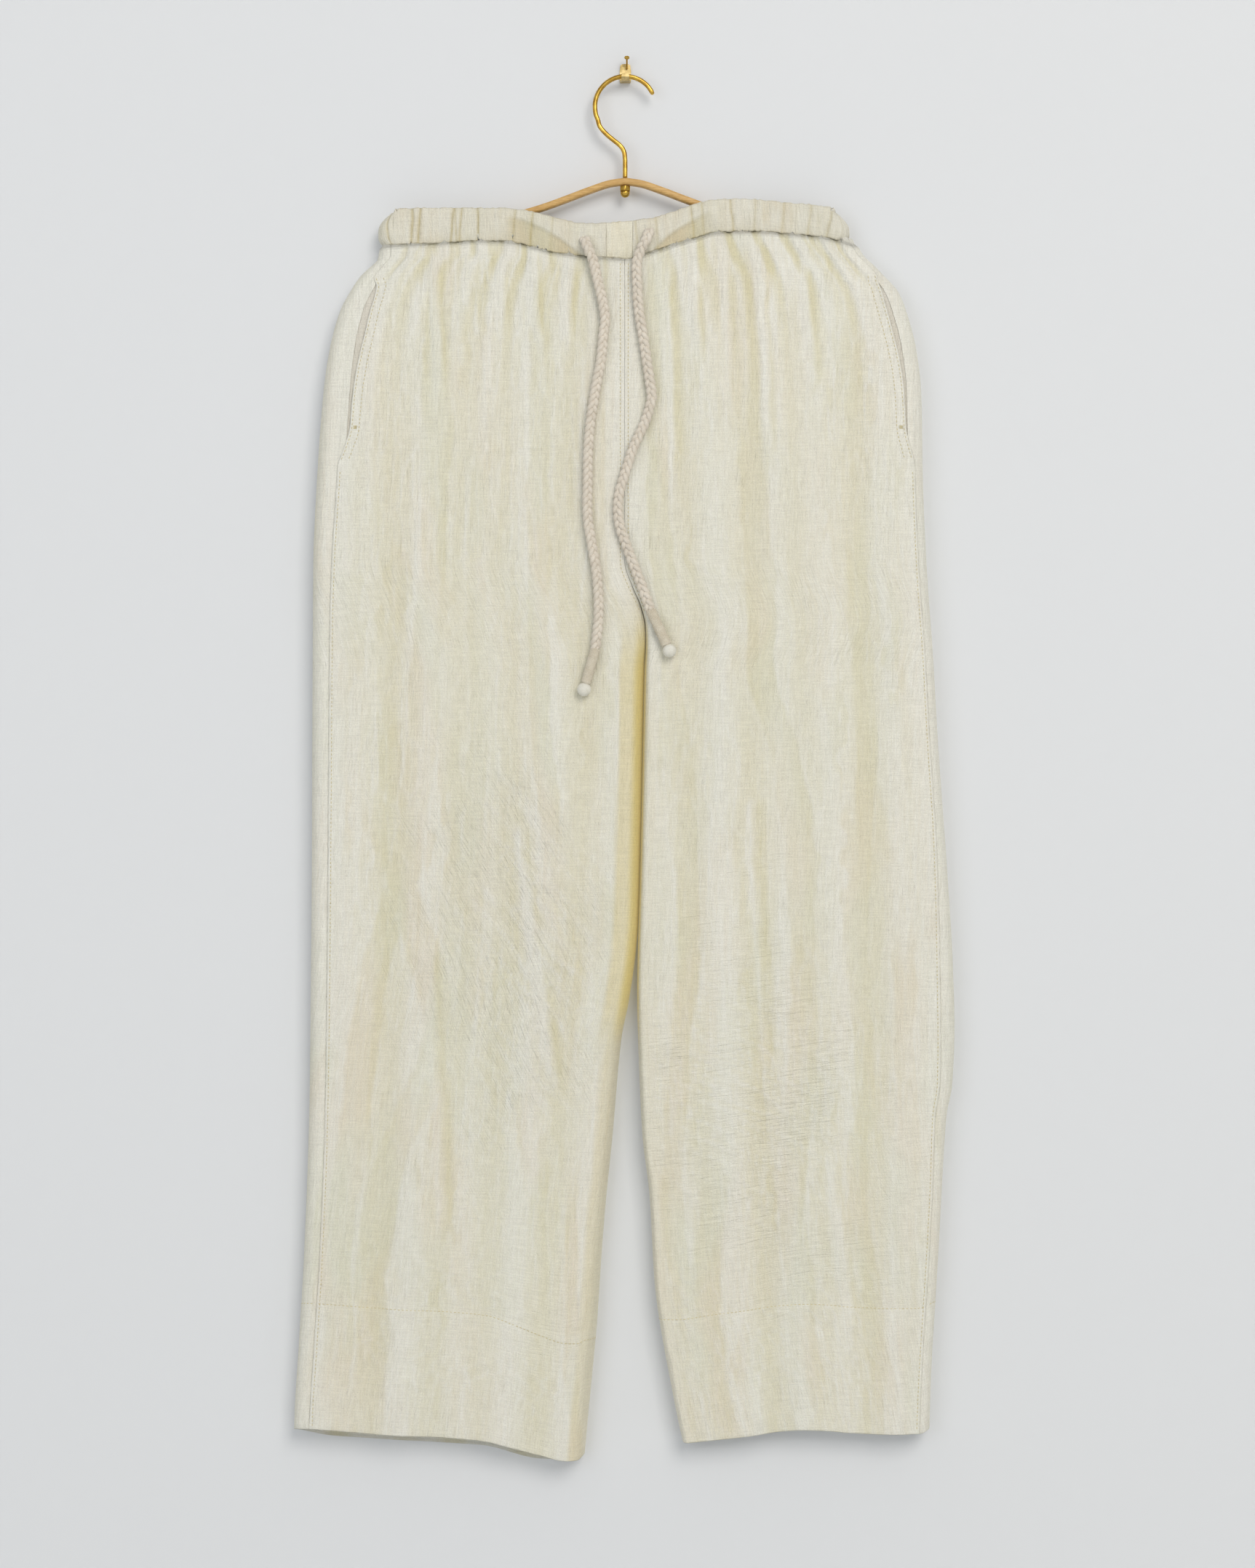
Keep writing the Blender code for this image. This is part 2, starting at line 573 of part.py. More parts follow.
def main():
    for old in list(bpy.data.objects):
        bpy.data.objects.remove(old, do_unlink=True)
    group = bpy.data.collections.new("drawstring_trousers")
    bpy.context.scene.collection.children.link(group)
    layer = bpy.context.view_layer.layer_collection.children["drawstring_trousers"]
    bpy.context.view_layer.active_layer_collection = layer

    silk = material("cream_crinkled_silk", (0.76, 0.73, 0.63), 0.55)
    silk_back = material("cream_silk_back_panel", (0.74, 0.71, 0.60), 0.55)
    lining = material("pocket_bag_silk", (0.66, 0.63, 0.54), 0.6)
    casing = material("waistband_silk", (0.75, 0.73, 0.65), 0.55)
    cord = material("plaited_cotton_cord", (0.69, 0.63, 0.55), 0.9)
    thread = material("cord_end_thread", (0.72, 0.68, 0.58), 0.85)
    ball = material("cord_end_ball", (0.75, 0.74, 0.66), 0.6)
    brass = material("satin_brass", (0.55, 0.38, 0.14), 0.3, 1.0)
    wood = material("pale_bent_wood", (0.72, 0.50, 0.22), 0.5)
    plate = material("wall_hook_brass", (0.55, 0.42, 0.2), 0.35, 1.0)

    for side, word in ((RIGHT, "right"), (LEFT, "left")):
        panel("front_panel_" + word, side, True, silk)
        panel("back_panel_" + word, side, False, silk_back)
        pocket_bag("pocket_bag_" + word, side, lining)
    waistband(casing)
    waistband_centre(casing)
    drawstring(
        "right", (-32.2, -131.5),
        [(-27, -144), (-23.5, -157.7), (-20.1, -172.2), (-17.2, -186.1), (-16, -196), (-17.2, -206),
         (-19.5, -229.6), (-22.4, -244), (-27, -272.5), (-29.3, -295.7), (-29.9, -324), (-29.9, -353),
         (-26.4, -376), (-22.4, -401), (-21.2, -430)],
        (-23.8, -458), (-32.8, -489.9), cord, thread, ball,
    )
    drawstring(
        "left", (18.8, -125.2),
        [(11.2, -142), (9, -152.5), (9.5, -167), (10.1, -182), (11.9, -196), (14.1, -209.3), (17.2, -229.6),
         (20, -248.7), (21.1, -257), (15.9, -276.5), (7.2, -295.7), (0.8, -314.8), (-5.5, -338), (-5, -357),
         (-0.3, -372.2), (5.4, -387.8), (12, -405)],
        (20, -427), (35, -459.1), cord, thread, ball,
    )
    hanger_hook(brass)
    hanger_arm(wood)
    hanger_nut(brass)
    wall_hook(plate)
    wall_nail(brass)


main()
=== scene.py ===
"""Dresses the drawstring trousers and the hanger that holds them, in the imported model's own frame.

Sizes are millimetres until a mesh is made. The wearer faces -Y and the wearer's right leg is at -X.
The origin is the underside of the hanger hook's crown, where the wall hook carries it.
"""

from __future__ import annotations

import functools
import logging
import math
from collections.abc import Callable, Sequence
from dataclasses import dataclass, field
from enum import Enum

import bmesh
import bpy
import numpy as np
from mathutils import Matrix, Vector

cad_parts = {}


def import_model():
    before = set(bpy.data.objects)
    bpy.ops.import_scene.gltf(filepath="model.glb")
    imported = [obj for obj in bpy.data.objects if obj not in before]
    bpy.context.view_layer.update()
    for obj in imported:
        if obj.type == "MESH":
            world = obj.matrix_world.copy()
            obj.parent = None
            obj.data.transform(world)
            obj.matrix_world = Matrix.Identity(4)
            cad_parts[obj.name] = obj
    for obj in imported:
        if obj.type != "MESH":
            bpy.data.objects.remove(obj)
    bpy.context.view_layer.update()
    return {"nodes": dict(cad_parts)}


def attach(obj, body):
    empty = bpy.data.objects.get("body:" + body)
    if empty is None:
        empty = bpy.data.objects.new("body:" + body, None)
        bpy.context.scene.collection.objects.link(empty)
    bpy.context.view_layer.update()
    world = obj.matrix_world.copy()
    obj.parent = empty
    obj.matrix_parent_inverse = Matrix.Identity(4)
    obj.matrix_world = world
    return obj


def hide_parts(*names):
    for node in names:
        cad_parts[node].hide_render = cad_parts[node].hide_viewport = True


LOG = logging.getLogger("trousers")
MM = 0.001


class Side(Enum):
    """The wearer's side, with the sign that its X has."""

    RIGHT = -1
    LEFT = 1


class Slot(Enum):
    """The record's material slots."""

    SILK = "silk_cloth"
    CORD = "cotton_cord"
    THREAD = "cotton_thread"
    BALL = "cord_ball"
    BRASS = "brass"
    WOOD = "pale_wood"


def linear(code: str) -> tuple[float, float, float, float]:
    """Turns an sRGB hex value into linear RGBA.

    Args:
        code: six hex digits after a hash.

    Returns:
        The colour with an alpha of 1.
    """
    parts = [int(code[i : i + 2], 16) / 255 for i in (1, 3, 5)]
    red, green, blue = (c / 12.92 if c <= 0.04045 else ((c + 0.055) / 1.055) ** 2.4 for c in parts)
    return red, green, blue, 1.0


def put(
    tree: bpy.types.NodeTree, kind: str, inputs: dict | None = None, **settings: object
) -> bpy.types.Node:
    """Adds one shader node with its settings, values and links.

    Args:
        tree: the node tree it goes in.
        kind: the node's type without the ShaderNode prefix.
        inputs: values or sockets by input name or number.
        **settings: properties of the node itself.

    Returns:
        The new node.
    """
    node = tree.nodes.new("ShaderNode" + kind)
    for name, value in settings.items():
        setattr(node, name, value)
    fill(tree, node, inputs or {})
    return node


def fill(tree: bpy.types.NodeTree, node: bpy.types.Node, inputs: dict) -> None:
    """Gives a node's inputs, by name or number, their values or the sockets that they are linked to."""
    for key, value in inputs.items():
        if isinstance(value, bpy.types.NodeSocket):
            tree.links.new(value, node.inputs[key])
        else:
            node.inputs[key].default_value = value


def reckon(
    tree: bpy.types.NodeTree, operation: str, *terms: bpy.types.NodeSocket | float, use_clamp: bool = False
) -> bpy.types.NodeSocket:
    """One sum on one or two terms, each a socket or a number."""
    node = put(tree, "Math", dict(enumerate(terms)), operation=operation, use_clamp=use_clamp)
    return node.outputs[0]


def drift(
    tree: bpy.types.NodeTree, place: bpy.types.NodeSocket, scale: tuple[float, float, float], **more: float
) -> bpy.types.NodeSocket:
    """Noise with so many cells to a metre along each axis, from 0 to 1.

    Args:
        tree: the node tree it goes in.
        place: coordinates in metres.
        scale: cells to a metre along X, Y and Z.
        **more: other inputs of the noise by name, such as Detail.

    Returns:
        The noise's value.
    """
    mapped = put(tree, "Mapping", {"Vector": place, "Scale": scale}).outputs[0]
    return put(tree, "TexNoise", {"Vector": mapped, "Scale": 1, **more}).outputs[0]


def ramp(tree: bpy.types.NodeTree, value: bpy.types.NodeSocket, *spans: float) -> bpy.types.NodeSocket:
    """Maps a value from one span to another and holds it at the ends.

    Args:
        tree: the node tree it goes in.
        value: what is mapped.
        *spans: the first span's start and end, then the second's.

    Returns:
        The mapped value.
    """
    return put(tree, "MapRange", {0: value, **dict(enumerate(spans, 1))}).outputs[0]


def blend(
    tree: bpy.types.NodeTree, weight: bpy.types.NodeSocket, *colours: str | bpy.types.NodeSocket
) -> bpy.types.NodeSocket:
    """Mixes two colours, each an sRGB hex value or a socket, by a weight from 0 to 1."""
    first, second = (linear(colour) if isinstance(colour, str) else colour for colour in colours)
    return put(tree, "Mix", {0: weight, 6: first, 7: second}, data_type="RGBA").outputs[2]


def grain_of(
    tree: bpy.types.NodeTree, place: bpy.types.NodeSocket, scale: float,
    detail: float = 2, rough: float = 0.5,
) -> bpy.types.NodeSocket:
    """Noise with the same number of cells to a metre every way, from 0 to 1."""
    made = put(tree, "TexNoise", {"Vector": place, "Scale": scale, "Detail": detail, "Roughness": rough})
    return made.outputs[0]


def dents(
    tree: bpy.types.NodeTree, height: bpy.types.NodeSocket, strength: float, depth: float
) -> bpy.types.NodeSocket:
    """The direction that a surface faces, with a fine relief whose depth is in metres."""
    return put(tree, "Bump", {"Strength": strength, "Distance": depth, "Height": height}).outputs[0]


def smooth(x: np.ndarray | float) -> np.ndarray:
    """An S-shaped ramp that runs from 0 to 1 as x does."""
    x = np.minimum(np.maximum(x, 0), 1)
    return x * x * (3 - 2 * x)


class Table:
    """A size read off against another by a smooth curve that never overshoots its points."""

    def __init__(self, *points: tuple[float, float]) -> None:
        """Takes the points as pairs of the size read at and the size read off."""
        ordered = sorted(points)
        self.at = np.array([point[0] for point in ordered], float)
        self.value = np.array([point[1] for point in ordered], float)
        step = np.diff(self.at)
        slope = np.diff(self.value) / step
        self.slope = np.zeros_like(self.at)
        for i in range(1, len(self.at) - 1):
            if slope[i - 1] * slope[i] > 0:
                self.slope[i] = 2 / (1 / slope[i - 1] + 1 / slope[i])
        self.slope[0] = slope[0]
        self.slope[-1] = slope[-1]

    def __call__(self, at: np.ndarray | float) -> np.ndarray:
        """Reads the curve at one or many places."""
        at = np.minimum(np.maximum(at, self.at[0]), self.at[-1])
        i = np.minimum(np.maximum(self.at.searchsorted(at) - 1, 0), len(self.at) - 2)
        step = self.at[i + 1] - self.at[i]
        u = (at - self.at[i]) / step
        rise = self.slope[i] * step * u * (1 - u) ** 2 - self.slope[i + 1] * step * u * u * (1 - u)
        return self.value[i] + (self.value[i + 1] - self.value[i]) * u * u * (3 - 2 * u) + rise


class Ripple:
    """Smooth uneven noise over a plane, the same each run, for cloth that is never quite regular."""

    CELLS = 128

    def __init__(self, seed: int) -> None:
        """Fills the lattice from a seed. Its first row and column come again at its end, so it wraps."""
        lattice = np.random.default_rng(seed).uniform(-1, 1, (self.CELLS, self.CELLS))
        self.values = np.pad(lattice, ((0, 1), (0, 1)), mode="wrap").reshape(-1)

    def __call__(self, u: np.ndarray | float, v: np.ndarray | float) -> np.ndarray:
        """Reads the noise, whose cells are one unit wide.

        Args:
            u: place across.
            v: place along.

        Returns:
            Values from -1 to 1.
        """
        i = np.floor(u)
        j = np.floor(v)
        a = u - i
        b = v - j
        a = a * a * (3 - 2 * a)
        b = b * b * (3 - 2 * b)
        row = self.CELLS + 1
        at = i.astype(int) % self.CELLS * row + j.astype(int) % self.CELLS
        low = self.values[at] * (1 - a) + self.values[at + row] * a
        high = self.values[at + 1] * (1 - a) + self.values[at + row + 1] * a
        return low * (1 - b) + high * b

    def ridged(self, u: np.ndarray, v: np.ndarray) -> np.ndarray:
        """Thin sharp ridges where the noise crosses zero, from 0 to 1."""
        return np.exp(-np.abs(self(u, v)) * 7)


def lay_grid(sheet: bmesh.types.BMesh, laid: np.ndarray) -> list[bmesh.types.BMVert]:
    """Puts a grid's vertices at given points.

    Args:
        sheet: the mesh that gets the grid.
        laid: rows by columns of points in millimetres.

    Returns:
        The vertices in reading order.
    """
    rows, columns = laid.shape[:2]
    made = bmesh.ops.create_grid(sheet, x_segments=columns - 1, y_segments=rows - 1, size=0.5)["verts"]
    spots = np.array([vert.co for vert in made])
    index = np.rint((spots[:, 1] + 0.5) * (rows - 1)) * columns
    index = index + np.rint((spots[:, 0] + 0.5) * (columns - 1))
    flat = laid.reshape(-1, 3) * MM
    order: list[bmesh.types.BMVert | None] = [None] * (rows * columns)
    for vert, place in zip(made, index.astype(int)):
        vert.co = flat[place]
        order[place] = vert
    return order


def finish_mesh(name: str, sheet: bmesh.types.BMesh, shade: bool = True) -> bpy.types.Object:
    """Turns a bmesh into an object of the scene.

    Args:
        name: the piece's name.
        sheet: the mesh, which is freed.
        shade: whether its faces are shaded smooth.

    Returns:
        The new object.
    """
    data = bpy.data.meshes.new(name)
    sheet.to_mesh(data)
    sheet.free()
    data.polygons.foreach_set("use_smooth", np.full(len(data.polygons), shade))
    made = bpy.data.objects.new(name, data)
    bpy.context.scene.collection.objects.link(made)
    return made


def cloth_sheet(
    name: str, laid: np.ndarray, uv: np.ndarray, marks: dict[str, np.ndarray], outward: Sequence[float]
) -> bpy.types.Object:
    """An open sheet of cloth on a grid, with its UV map and its marks.

    Args:
        name: the piece's name.
        laid: rows by columns of points in millimetres.
        uv: rows by columns of cloth coordinates in metres.
        marks: value fields over the same grid, kept as attributes.
        outward: a direction that the first face should look.

    Returns:
        The sheet, one face thick.
    """
    sheet = bmesh.new()
    lay_grid(sheet, laid)
    sheet.faces.ensure_lookup_table()
    sheet.normal_update()
    middle = sheet.faces[len(sheet.faces) // 2]
    if middle.normal.dot(Vector(outward)) < 0:
        bmesh.ops.reverse_faces(sheet, faces=list(sheet.faces))
    sheet.verts.index_update()
    made = finish_mesh(name, sheet)
    data = made.data
    spots = np.empty(len(data.vertices) * 3)
    data.vertices.foreach_get("co", spots)
    if np.abs(spots - laid.reshape(-1) * MM).max() > 1e-5:
        raise ValueError("the grid's vertices aren't in reading order")
    loops = np.empty(len(data.loops), int)
    data.loops.foreach_get("vertex_index", loops)
    layer = data.uv_layers.new(name="cloth")
    layer.data.foreach_set("uv", uv.reshape(-1, 2)[loops].reshape(-1))
    for mark, values in marks.items():
        data.attributes.new(mark, "FLOAT", "POINT").data.foreach_set("value", values.reshape(-1))
    return made


def smooth_route(route: Sequence[Sequence[float]], spacing: float) -> np.ndarray:
    """Points at an even spacing along a smooth curve through the route's own points."""
    given = np.array(route, float)
    ends = np.vstack([2 * given[0] - given[1], given, 2 * given[-1] - given[-2]])
    fine = []
    for i in range(1, len(ends) - 2):
        a, b, c, d = ends[i - 1 : i + 3]
        for u in np.linspace(0, 1, 12, endpoint=False):
            bend = (2 * a - 5 * b + 4 * c - d) * u * u + (3 * b - a - 3 * c + d) * u**3
            fine.append(0.5 * (2 * b + (c - a) * u + bend))
    fine.append(given[-1])
    path = np.array(fine)
    arc = np.concatenate([[0], np.cumsum(np.linalg.norm(np.diff(path, axis=0), axis=1))])
    at = np.linspace(0, arc[-1], max(2, round(arc[-1] / spacing) + 1))
    return np.stack([np.interp(at, arc, path[:, k]) for k in range(3)], axis=-1)


def frames_along(path: np.ndarray) -> tuple[np.ndarray, np.ndarray, np.ndarray]:
    """The tangent and two steady cross directions at each point of a path.

    Args:
        path: points in millimetres.

    Returns:
        Tangents, the cross direction nearest the front, and the third direction.
    """
    along = np.gradient(path, axis=0)
    along /= np.linalg.norm(along, axis=1)[:, None]
    out = np.zeros_like(path)
    last = np.array([0.0, 0.0, 1.0]) if abs(along[0, 1]) > 0.9 else np.array([0.0, -1.0, 0.0])
    for i, tangent in enumerate(along):
        cross = last - tangent * float(last @ tangent)
        cross /= np.linalg.norm(cross)
        out[i] = cross
        last = cross
    return along, out, np.cross(along, out)


def sweep(sheet: bmesh.types.BMesh, path: np.ndarray, radii: np.ndarray, sides: int) -> None:
    """Draws a round tube along a path into a mesh, open at both ends.

    Args:
        sheet: the mesh that gets the tube.
        path: its centreline in millimetres.
        radii: its radius at each point.
        sides: how many sides it has.
    """
    _, out, across = frames_along(path)
    turn = np.linspace(0, 2 * math.pi, sides + 1)
    ring = out[:, None, :] * np.cos(turn)[None, :, None] + across[:, None, :] * np.sin(turn)[None, :, None]
    made = lay_grid(sheet, path[:, None, :] + ring * radii[:, None, None])
    bmesh.ops.remove_doubles(sheet, verts=made, dist=1e-6)


@dataclass(frozen=True)
class TrouserForm:
    """The hanging form that every cloth piece lies on, with its sizes in millimetres."""

    waist_z: float = -133.0
    hem_z: float = -1085.0
    cap_outer: float = 11.0
    outer_fold_y: float = -3.0
    band_front: float = -9.8
    band_back: float = 7.2
    band_right_end: float = -198.0
    band_left_end: float = 179.4
    band_top: Table = Table(
        (-198, -107.5), (-184, -105.5), (-150, -104.9), (-110, -104.9), (-89, -105.8), (-68, -109.3),
        (-50, -114.2), (-33, -117.2), (-12, -116.6), (0, -115.4), (23, -112.6), (39, -107.8),
        (55, -102), (69, -98.6), (94, -97.6), (124, -100.3), (156, -103.2), (170, -106), (180, -109),
    )
    waist: Table = Table(
        (-198, -136.2), (-185, -134.6), (-150, -133.2), (-116, -131.2), (-90, -132.4), (-76, -135.6),
        (-61, -139.5), (-35, -143.2), (-12, -145), (0, -145.6), (20, -140), (39, -134), (55, -129),
        (72, -124.6), (100, -123.6), (132, -125.8), (156, -128.2), (170, -131), (180, -134),
    )
    hem_right: Table = Table(
        (-266, -1078), (-246, -1079), (-198, -1082.9), (-140, -1085.8), (-112, -1088.4), (-90, -1093.9),
        (-68, -1100), (-48, -1104), (-38, -1103.9), (-33, -1101),
    )
    hem_left: Table = Table(
        (46, -1090.5), (71, -1087.5), (96, -1084.6), (124, -1080.8), (142, -1079.4), (160, -1080),
        (178, -1081.7), (204, -1082.9), (234, -1082.7), (245, -1078.5),
    )
    outer_right: Table = Table(
        (-125, -196), (-142, -198), (-149, -205), (-156, -212), (-170, -221), (-184, -228), (-219, -237),
        (-253, -241.5), (-323, -246.7), (-392, -249.6), (-636, -250.8), (-810, -252.5), (-949, -257.2),
        (-1018, -261.2), (-1076, -264.7), (-1110, -265.5),
    )
    outer_left: Table = Table(
        (-125, 183), (-135, 187), (-142, 191.5), (-149, 199), (-156, 205.5), (-170, 218), (-184, 224),
        (-219, 233), (-253, 236.7), (-323, 238), (-392, 241), (-462, 246), (-532, 250), (-636, 257.5),
        (-705, 261.7), (-760, 263.2), (-805, 261.5), (-829, 257), (-872, 254), (-950, 250), (-1050, 244.3),
        (-1110, 242.5),
    )
    inner_right: Table = Table(
        (-125, -0.65), (-388, -0.65), (-408, 5.6), (-424, 12.4), (-440, 15.9), (-452, 16.2), (-474, 15.1),
        (-520, 14.1), (-578, 12.9), (-640, 11.4), (-675, 10.3), (-700, 8.3), (-740, 2.6), (-768, -3),
        (-846, -10.2), (-932, -18.9), (-984, -23), (-1097, -33.4), (-1115, -34.5),
    )
    inner_left: Table = Table(
        (-125, -0.35), (-388, -0.35), (-408, 5.9), (-424, 12.7), (-440, 16.2), (-452, 16.5), (-474, 15.4),
        (-520, 14.4), (-578, 13.2), (-640, 11.7), (-675, 10.6), (-734, 9.4), (-798, 11.2), (-846, 13.6),
        (-895, 19.4), (-960, 23.4), (-997, 28.6), (-1032, 35), (-1068, 42), (-1090, 46.6), (-1115, 49),
    )
    front_depth: Table = Table(
        (-125, -9.4), (-150, -11), (-190, -13.5), (-250, -15.5), (-330, -16.5), (-480, -16.5), (-700, -15),
        (-900, -13.5), (-1000, -13.2), (-1115, -13.8),
    )
    back_depth: Table = Table((-125, 7), (-180, 7.6), (-330, 8.6), (-700, 8.6), (-1115, 8.6))
    seam_right: Table = Table((-125, 9), (-160, 12), (-253, 16), (-320, 17), (-450, 14.5), (-1115, 13))
    seam_left: Table = Table(
        (-125, 5), (-200, 6.5), (-320, 7), (-578, 7.5), (-750, 12), (-900, 8), (-1115, 9),
    )
    mouth_right: Table = Table(
        (-140, 0), (-156, 0.5), (-166, 8), (-182, 11.5), (-202, 12), (-232, 10), (-256, 8.5), (-282, 8),
        (-300, 3.5), (-312, 0), (-330, 0),
    )
    mouth_left: Table = Table(
        (-140, 0), (-156, 0.5), (-166, 7), (-182, 10), (-202, 10.5), (-232, 9), (-256, 8), (-282, 7),
        (-300, 3), (-312, 0), (-330, 0),
    )
    front_crotch: Table = Table((-395, 0), (-430, 0.25), (-455, 0.7), (-470, 1))
    back_crotch: Table = Table((-360, 0), (-420, 0.3), (-450, 0.7), (-470, 1))

    def back_drop(self, x: np.ndarray) -> np.ndarray:
        """How far the back of the waist hangs below the front, away from its two ends."""
        return 2.5 * smooth((np.minimum(x - self.band_right_end, self.band_left_end - x) - 12) / 50)

    def mouth(self, side: Side, z: float) -> float:
        """How far the pocket edge of a front panel stands back from the side seam."""
        table = self.mouth_right if side is Side.RIGHT else self.mouth_left
        return float(table(z))

    @functools.lru_cache(maxsize=None)
    def section(self, side: Side, z: float) -> tuple[np.ndarray, np.ndarray, np.ndarray, float]:
        """The plain section of one half at a height, from the centre or inseam round front and back.

        Args:
            side: which leg.
            z: the nominal height.

        Returns:
            X, Y and arc length along it, and the arc length at the side seam.
        """
        right = side is Side.RIGHT
        sign = side.value
        x_in = float((self.inner_right if right else self.inner_left)(z))
        x_out = float((self.outer_right if right else self.outer_left)(z))
        y_front = float(self.front_depth(z))
        y_back = float(self.back_depth(z))
        mid = 2.0 if right else -2.0
        cap = 13.0 if right else 5.0
        start = y_front + (mid - y_front) * float(self.front_crotch(z))
        end = y_back + (mid - y_back) * float(self.back_crotch(z))
        turn = np.linspace(0, math.pi / 2, 13)
        back_turn = turn[::-1]
        out_x = x_out - sign * self.cap_outer
        in_x = x_in + sign * cap
        fold = self.outer_fold_y
        x = np.concatenate([
            x_in + sign * cap * (1 - np.cos(turn)),
            np.linspace(in_x, out_x, 40)[1:-1],
            out_x + sign * self.cap_outer * np.sin(turn),
            (out_x + sign * self.cap_outer * np.cos(turn))[1:],
            np.linspace(out_x, in_x, 40)[1:-1],
            x_in + sign * cap * (1 - np.cos(back_turn)),
        ])
        y = np.concatenate([
            start + (y_front - start) * np.sin(turn),
            np.full(38, y_front),
            fold + (y_front - fold) * np.cos(turn),
            (fold + (y_back - fold) * np.sin(turn))[1:],
            np.full(38, y_back),
            end + (y_back - end) * np.sin(back_turn),
        ])
        arc = np.concatenate([[0], np.cumsum(np.hypot(np.diff(x), np.diff(y)))])
        seam_x = x_out - sign * float((self.seam_right if right else self.seam_left)(z))
        seam = float(np.interp(sign * seam_x, sign * x[:64], arc[:64]))
        return x, y, arc, seam


@dataclass
class Folds:
    """The cloth's folds: gathers, broad hanging folds, listed creases, and fine crinkle.

    A beige stripe is its centre's X by height, its half width and its depth. A crease is its X by height,
    where it starts and ends, how far it stands and its width. A crosswise crease is its height and slope.
    """

    form: TrouserForm
    gathers: int = 17
    wander: Ripple = field(default_factory=lambda: Ripple(11))
    crumple: Ripple = field(default_factory=lambda: Ripple(23))
    patches: Ripple = field(default_factory=lambda: Ripple(37))

    beige_right: tuple[tuple[Table, float, float], ...] = (
        (Table(
            (-150, -146), (-317, -151), (-462, -159), (-607, -172), (-752, -206), (-897, -224),
            (-1042, -232),
        ), 13, 1.0),
        (Table((-150, -62), (-317, -70.5), (-462, -70), (-607, -60), (-700, -56)), 9, 0.9),
        (Table((-300, -112), (-462, -119), (-607, -119), (-752, -130), (-897, -150)), 8, 0.6),
        (Table((-600, -196), (-752, -150), (-897, -196), (-1042, -206)), 14, 0.8),
        (Table((-150, -27), (-250, -24), (-317, -22), (-400, -20)), 8, 0.7),
        (Table((-900, -46), (-1000, -42), (-1100, -40)), 6, 0.9),
    )
    beige_left: tuple[tuple[Table, float, float], ...] = (
        (Table(
            (-150, 24), (-317, 27), (-462, 35), (-607, 50), (-752, 46), (-897, 36), (-1042, 60),
        ), 9, 1.0),
        (Table(
            (-150, 92), (-317, 101), (-462, 108), (-607, 138), (-752, 140), (-897, 132), (-1042, 148),
        ), 12, 0.9),
        (Table((-380, 186), (-462, 189), (-897, 188), (-1042, 205)), 9, 0.7),
        (Table((-700, 222), (-752, 224), (-897, 224), (-1060, 226)), 9, 0.8),
        (Table((-880, 70), (-960, 62), (-1042, 72), (-1090, 84)), 12, 0.8),
    )
    creases_right: tuple[tuple[Table, float, float, float, float], ...] = (
        (Table((-140, -153), (-200, -152), (-260, -151)), -140, -262, 1.6, 3.2),
        (Table((-134, -176), (-160, -192)), -132, -168, 1.2, 1.7),
        (Table((-134, -166), (-165, -187)), -132, -172, 1.2, 1.7),
        (Table((-136, -191), (-150, -201)), -134, -158, 1.0, 1.7),
        (Table((-133, -125), (-165, -129)), -134, -176, 1.2, 2.6),
        (Table((-140, -111), (-175, -108)), -138, -184, 1.2, 2.6),
        (Table((-149, -99), (-201, -98)), -146, -210, 1.0, 2.4),
        (Table((-135, -76), (-170, -73), (-213, -70)), -135, -226, 1.7, 2.8),
        (Table((-143, -45), (-215, -46)), -141, -222, 1.3, 3.0),
        (Table((-560, -92), (-700, -74), (-810, -58)), -600, -820, 0.9, 3.6),
        (Table((-700, -160), (-900, -148)), -700, -930, 0.8, 4.0),
    )
    creases_left: tuple[tuple[Table, float, float, float, float], ...] = (
        (Table((-132, 54), (-220, 56)), -132, -230, 1.7, 2.8),
        (Table((-132, 28), (-311, 31)), -134, -311, 1.0, 4.4),
        (Table((-128, 131), (-146, 148)), -128, -156, 1.1, 1.7),
        (Table((-134, 151), (-155, 161)), -130, -166, 1.1, 1.7),
        (Table((-130, 78), (-240, 82)), -130, -236, 1.0, 2.8),
        (Table((-130, 106), (-330, 112)), -130, -320, 1.1, 3.0),
        (Table((-132, 140), (-260, 148)), -132, -250, 1.0, 2.8),
        (Table((-140, 34), (-330, 37)), -150, -340, 0.8, 3.0),
        (Table((-560, 96), (-800, 110)), -580, -820, 0.8, 4.0),
        (Table((-850, 160), (-1000, 176)), -860, -1020, 0.8, 4.0),
    )
    crosswise_right: tuple[tuple[float, float], ...] = (
        (-232, 0.012), (-299, -0.006), (-402, 0.01), (-748, 0.004), (-811, -0.01),
    )
    crosswise_left: tuple[tuple[float, float], ...] = (
        (-298, 0.01), (-352, -0.012), (-401, 0.0), (-746, -0.008), (-812, 0.012),
    )
    crosswise_reach: float = 80.0
    back_creases: tuple[tuple[float, float, float], ...] = (
        (0.22, -150, -300), (0.45, -300, -620), (0.63, -150, -360), (0.8, -560, -900),
    )

